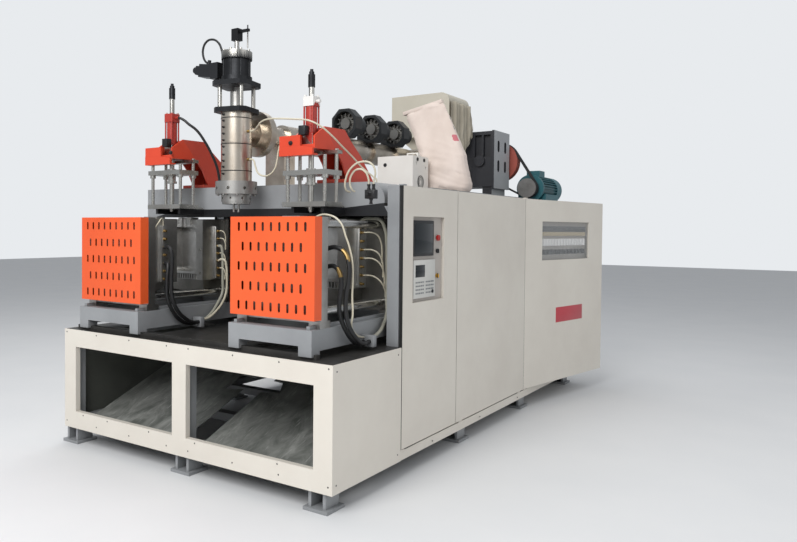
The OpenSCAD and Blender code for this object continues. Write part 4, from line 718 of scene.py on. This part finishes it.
# Breaker rows behind the pane
# Snap-on modules of moulded plastic in four rows, on rails of a coated board.
# The inside of the electric door carries the board close behind the pane.
DOOR_EDGE = 2.948
door_turn = Matrix.Translation(ELECTRIC_HINGE) @ opened @ Matrix.Translation(-ELECTRIC_HINGE)
grey_module = plastic("grey_module_plastic", "4A4A4B", 0.5, "404041")
tan_module = plastic("yellowed_module_plastic", "B9A98A", 0.45, "AD9C7C")
white_module = plastic("white_module_plastic", "E6E4E2", 0.4, "DAD8D6")
board = eased_box("module_board", (1.186, DOOR_EDGE + 0.270, 1.290),
                  (1.190, DOOR_EDGE + 1.300, 1.690), 0.001)
board.data.transform(door_turn)
settle(board, panel_coat, "electric_door")
for name, material, low, high, start, pitch, wide, count in (
        ("wire_duct", grey_module, 1.578, 1.626, 0.295, 0.020, 0.013, 44),
        ("relay_row", tan_module, 1.537, 1.572, 0.295, 0.030, 0.026, 29),
        ("breaker_row", white_module, 1.445, 1.510, 0.300, 0.054, 0.042, 16),
        ("terminal_row", black_plastic, 1.364, 1.410, 0.300, 0.074, 0.036, 12)):
    module = eased_box(name, (1.188, start + DOOR_EDGE, low),
                       (1.214, start + DOOR_EDGE + wide, high), 0.0015)
    steps = [door_turn @ Matrix.Translation((0, pitch * i, 0)) for i in range(count)]
    settle(repeat(module, name, steps), material, "electric_door")
# The inner faces of the left cover panels take a dark grey-green, a painted shade of the machine's
# inside.
inside_wall_shade = enamel("grey_green_inside_shade", "60625B", "53554F", 0.6, corner_shade=0.5)
wrap(nodes["cover_panels"], inside_wall_shade,
     lambda face: face.normal.x > 0.9 and face.center.x < -1.1)
cover_part(cream_coat, "base_frame", lambda c: c.x > 1.2 and 0.1 < c.z < 0.19)

# Bands, screws and flanges of the head
# Thin blackened clamp bands round the heated cylinder, with a row of clamp screws on its
# left, and a plated flange under the parison cylinder.
HEAD_Y = 0.575
band = turned("clamp_band", [(0.1086, -0.003), (0.1102, -0.003), (0.1102, 0.003),
                             (0.1086, 0.003)], 48)
bands = [facing((0, 0, 1), 0, HEAD_Y, z) for z in (1.985, 2.172, 2.352)]
settle(repeat(band, "clamp_bands", bands), blackened, "machine")
lug = turned("clamp_screw", [(0, 0), (0.0075, 0), (0.0075, 0.007), (0.0045, 0.009),
                             (0.0045, 0.014), (0, 0.014)], 10)
side_angle = math.radians(258)
lugs = [facing((math.cos(side_angle), math.sin(side_angle), 0.25),
               0.108 * math.cos(side_angle), HEAD_Y + 0.108 * math.sin(side_angle), z)
        for z in (1.962, 2.010, 2.052, 2.095, 2.150, 2.195, 2.240, 2.285, 2.330, 2.372)]
settle(repeat(lug, "clamp_screws", lugs), blackened, "machine")
flange = turned("cylinder_flange", [(0.0885, 2.618), (0.099, 2.618), (0.100, 2.621),
                                    (0.100, 2.640), (0.098, 2.643), (0.0885, 2.643)], 40)
flange.data.transform(Matrix.Translation((0, HEAD_Y + PANEL_Y, 0)))
settle(flange, plated, "machine")

# Fittings on the arms and at the end of the beam
# A black air valve block stands on each arm box, with a bolt in its front; a block of black
# fittings at the beam's right end takes two looped tubes.
for side, x, lift in (("right", 0.615, 0.0), ("left", -0.668, 0.0)):
    block = eased_box(f"{side}_valve_block", (x, 0.485, 2.189 + lift),
                      (x + 0.053, 0.532, 2.250 + lift), 0.004)
    settle(block, black_plastic, "machine")
arm_bolt = turned("arm_bolt", [(0, 0), (0.016, 0), (0.016, 0.003), (0.011, 0.004),
                               (0.011, 0.013), (0.009, 0.015), (0, 0.015)], 6)
settle(repeat(arm_bolt, "arm_bolts", [facing((0, -1, 0), x, 0.4785, 2.140)
                                      for x in (-0.560, 0.560)]),
       black_oxide, "machine")
cluster = eased_box("beam_fitting_block", (1.120, 0.492, 1.770), (1.190, 0.534, 1.825), 0.004)
settle(cluster, black_oxide, "machine")
spout = turned("beam_fitting", [(0, 0), (0.012, 0), (0.012, 0.008), (0.009, 0.010),
                                (0.009, 0.024), (0.011, 0.026), (0.011, 0.034), (0, 0.034)], 12)
spouts = [facing((0, 0, 1), 1.138, 0.513, 1.824), facing((0, 0, 1), 1.172, 0.513, 1.824),
          facing((0, 0, -1), 1.155, 0.513, 1.771), facing((0, -1, 0), 1.155, 0.493, 1.800)]
settle(repeat(spout, "beam_fittings", spouts), black_oxide, "machine")
hose("beam_loop_tube", [
    (1.138, 0.513, 1.858), (1.138, 0.508, 1.890), (1.120, 0.495, 1.935), (1.075, 0.488, 1.950),
    (1.030, 0.488, 1.920), (1.012, 0.495, 1.865), (1.018, 0.515, 1.825), (1.020, 0.537, 1.818)],
    0.012, clear_tube, "machine")
hose("beam_outer_tube", [
    (1.172, 0.513, 1.858), (1.178, 0.508, 1.885), (1.196, 0.492, 1.925), (1.180, 0.478, 1.975),
    (1.120, 0.468, 1.992), (1.050, 0.464, 1.965), (1.000, 0.468, 1.895), (0.985, 0.490, 1.830),
    (0.985, 0.537, 1.815)],
    0.012, clear_tube, "machine")

# Auxiliary unit fittings
# Wire rings guard the fan in the side of the case.
# Moulded round sockets are screwed into its side and front.
ring = turned("fan_guard", [(0.046, 0), (0.050, 0), (0.050, 0.003), (0.046, 0.003)], 32)
rings = [facing((1, 0, 0), 0.7495, 1.910, 1.965) @ Matrix.Scale(s, 4)
         for s in (1.0, 0.72, 0.42)]
settle(repeat(ring, "fan_guard", rings), blackened, "machine")
socket = turned("unit_socket", [(0, 0), (0.015, 0), (0.015, 0.004), (0.011, 0.005),
                                (0.011, 0.002), (0, 0.002)], 20)
sockets = [facing((1, 0, 0), 0.7495, y, 2.140) for y in (1.855, 1.965)]
sockets += [facing((0, -1, 0), 0.500, 1.7805, 2.100)]
settle(repeat(socket, "unit_sockets", sockets), black_plastic, "machine")

# Sack
# Woven polypropylene sack of resin, full at its foot and slack above, with a folded hem at
# its mouth and a printed edge. Granulate presses it out, so its sides are simulated.


def woven(name, base, shade, tape_mm, soft_m):
    """Plain weave of flat tapes, with soft shadows in the creases."""
    material, tree, surface = new_material(name)
    place = add_node(tree, "TexCoord").outputs["Object"]
    pitch = 314.16 / tape_mm
    warp = add_node(tree, "TexWave", bands_direction="X", Vector=place, Scale=pitch)
    weft = add_node(tree, "TexWave", bands_direction="Z", Vector=place, Scale=pitch)
    weave = add_node(tree, "Math", operation="MULTIPLY", in0=warp.outputs["Fac"],
                     in1=weft.outputs["Fac"])
    drift = add_node(tree, "TexNoise", Vector=place, Scale=5.0, Detail=6.0)
    tone = add_node(tree, "MapRange", Value=drift.outputs["Fac"], in1=0.35, in2=0.7)
    dye = add_node(tree, "MixRGB", in0=tone.outputs[0], in1=base, in2=shade)
    crease = add_node(tree, "AmbientOcclusion", samples=4, Distance=soft_m)
    shadow = add_node(tree, "MapRange", Value=crease.outputs["AO"], in1=0.9, in2=0.4, in3=0.0,
                      in4=0.35)
    shaded = add_node(tree, "MixRGB", in0=shadow.outputs[0], in1=dye.outputs[0], in2="6E6258")
    bump = add_node(tree, "Bump", Strength=0.35, Distance=0.0004, Height=weave.outputs[0])
    shader = add_node(tree, "BsdfPrincipled", Base_Color=shaded.outputs[0], Roughness=0.72,
                      Sheen_Weight=0.15, Normal=bump.outputs[0])
    tree.links.new(shader.outputs[0], surface)
    return material


def between(table, at):
    """Straight-line value of a table of (place, value) pairs."""
    for (a, low), (b, high) in zip(table, table[1:]):
        if at <= b:
            return low + (high - low) * (at - a) / (b - a)
    return table[-1][1]


# Outline of the sack by height over its foot, and the top edge by place along X.
ROOF_TOP = 1.872
SACK_FOOT = 1.8725
SACK_HEIGHT = 0.77
SACK_VOXEL = 0.009
SWELL_CAP = 0.012
SACK_LEFT = [(0, 0.700), (0.06, 0.665), (0.36, 0.580), (0.64, 0.462), (0.76, 0.424)]
SACK_RIGHT = [(0, 1.030), (0.06, 1.060), (0.33, 1.010), (0.72, 0.835), (0.78, 0.800)]
SACK_FRONT = [(0, 2.110), (0.05, 2.094), (0.24, 2.098), (0.52, 2.156), (0.72, 2.184),
              (0.74, 2.178), (0.79, 2.180)]
SACK_BACK = [(0, 2.272), (0.05, 2.292), (0.24, 2.284), (0.52, 2.234), (0.72, 2.214),
             (0.74, 2.222), (0.79, 2.220)]
SACK_TOP = [(0.42, 0.700), (0.60, 0.748), (0.80, 0.780)]
bpy.ops.object.select_all(action="DESELECT")
bpy.ops.mesh.primitive_cube_add(size=1, location=(0, 0, 0))
sack = bpy.context.active_object
sack.name = "resin_sack"
bpy.ops.object.mode_set(mode="EDIT")
bpy.ops.mesh.select_all(action="SELECT")
bpy.ops.mesh.subdivide(number_cuts=31)
bpy.ops.object.mode_set(mode="OBJECT")
for point in sack.data.vertices:
    across, deep, up = (value + 0.5 for value in point.co)
    height = SACK_HEIGHT * up
    x = between(SACK_LEFT, height) * (1 - across) + between(SACK_RIGHT, height) * across
    rim = between(SACK_TOP, x)
    height = rim * up
    x = between(SACK_LEFT, height) * (1 - across) + between(SACK_RIGHT, height) * across
    pillow = max(0.0, 1 - abs(2 * across - 1) ** 4) ** 0.5
    middle = (between(SACK_FRONT, height) + between(SACK_BACK, height)) / 2
    half = (between(SACK_BACK, height) - between(SACK_FRONT, height)) / 2
    half = half * (0.35 + 0.65 * pillow)
    point.co = (x, middle + (2 * deep - 1) * half + PANEL_Y, SACK_FOOT + height)
sack.data.remesh_voxel_size = SACK_VOXEL
bpy.context.view_layer.objects.active = sack
bpy.ops.object.voxel_remesh()
before = [point.co.copy() for point in sack.data.vertices]
cloth = sack.modifiers.new("fill", "CLOTH")
cloth.settings.use_pressure = True
cloth.settings.uniform_pressure_force = 4
cloth.settings.effector_weights.gravity = 0
for step in range(1, 21):
    bpy.context.scene.frame_set(step)
bpy.ops.object.modifier_apply(modifier="fill")
for point, start in zip(sack.data.vertices, before):
    move = point.co - start
    point.co = start + move * min(1.0, SWELL_CAP / max(move.length, 1e-6))
    point.co.z = max(point.co.z, ROOF_TOP)
bpy.context.scene.frame_set(1)
turns = [point.normal.copy() for point in sack.data.vertices]
for point, turn in zip(sack.data.vertices, turns):
    x, y, z = point.co
    full = 1 - min(1.0, max(0.0, (z - 1.95) / 0.5))
    slack = min(1.0, max(0.0, (z - 2.35) / 0.25))
    low_fold = noise.noise(Vector((x * 5, y * 4, z * 30 + x * 9)))
    slant = noise.noise(Vector((x * 14 - z * 9, y * 5, z * 4 + x * 3)))
    point.co += turn * (0.006 * full * low_fold + 0.010 * slack * slant + 0.004 * slant)
    point.co.z = max(point.co.z, ROOF_TOP)
sack_weave = woven("woven_polypropylene", "DFD0C6", "D3C3B8", 2.5, 0.03)
settle(sack, sack_weave, "machine")
green_print = woven("green_edge_print", "4F6F68", "45635D", 2.5, 0.03)
pink_print = woven("pink_patch_print", "C9727A", "BD6A72", 2.5, 0.03)
for print_weave, wide, front, low, high in ((green_print, 0.012, -0.02, 2.38, 2.56),
                                            (pink_print, 0.045, -0.03, 2.30, 2.36)):
    wrap(sack, print_weave,
         lambda face: face.center.x > between(SACK_RIGHT, face.center.z - SACK_FOOT) - wide
         and face.center.y < front and low < face.center.z < high)
bpy.ops.object.shade_smooth()
hem = eased_box("sack_hem", (0, -0.021 - PANEL_Y, -0.016), (0.372, 0.021 - PANEL_Y, 0.016), 0.007)
hem.data.transform(Matrix.Translation((0.430, 2.199 + PANEL_Y, 2.566))
                   @ Matrix.Rotation(math.radians(-12.0), 4, "Y"))
settle(hem, sack_weave, "machine")
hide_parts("sack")

# Cloth between hopper and gearbox
# A cotton sheet, faded beige and matt, keeps dust off the open side.
# It hangs in folds from the hopper rim down to the gearbox.
FOLD_DEPTH = 0.010
FOLDS_PER_M = 17.0
cad_cloth = nodes["hopper_cloth"].data
stations = {}
for point in cad_cloth.vertices:
    stations.setdefault(round(point.co.y, 3), []).append(point.co)
rows = sorted(stations)
edge_low = [(y, min(p.z for p in stations[y])) for y in rows]
edge_high = [(y, max(p.z for p in stations[y])) for y in rows]
line_x = [(y, sum(p.x for p in stations[y]) / len(stations[y])) for y in rows]
bpy.ops.object.select_all(action="DESELECT")
bpy.ops.mesh.primitive_grid_add(x_subdivisions=130, y_subdivisions=70, size=1)
drape = bpy.context.active_object
drape.name = "hung_cloth"
for point in drape.data.vertices:
    along, up = point.co.x + 0.5, point.co.y + 0.5
    y = rows[0] + (rows[-1] - rows[0]) * along
    low, high = between(edge_low, y), between(edge_high, y)
    z = low + (high - low) * up
    fan = (1 - up) * (0.4 + 0.6 * along)
    fold = math.sin(math.tau * FOLDS_PER_M * (y + 0.25 * (high - z)))
    loose = noise.noise(Vector((y * 9, z * 7, 0.3)))
    point.co = (between(line_x, y) + FOLD_DEPTH * fan * fold + 0.006 * loose * fan, y, z)
cloth_weave = woven("faded_cotton_sheet", "B5AD9C", "A59D8C", 1.2, 0.04)
settle(drape, cloth_weave, "machine")
bpy.ops.object.shade_smooth()
wall = drape.modifiers.new("cloth_thickness", "SOLIDIFY")
wall.thickness = 0.0012
wall.offset = 0
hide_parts("hopper_cloth")
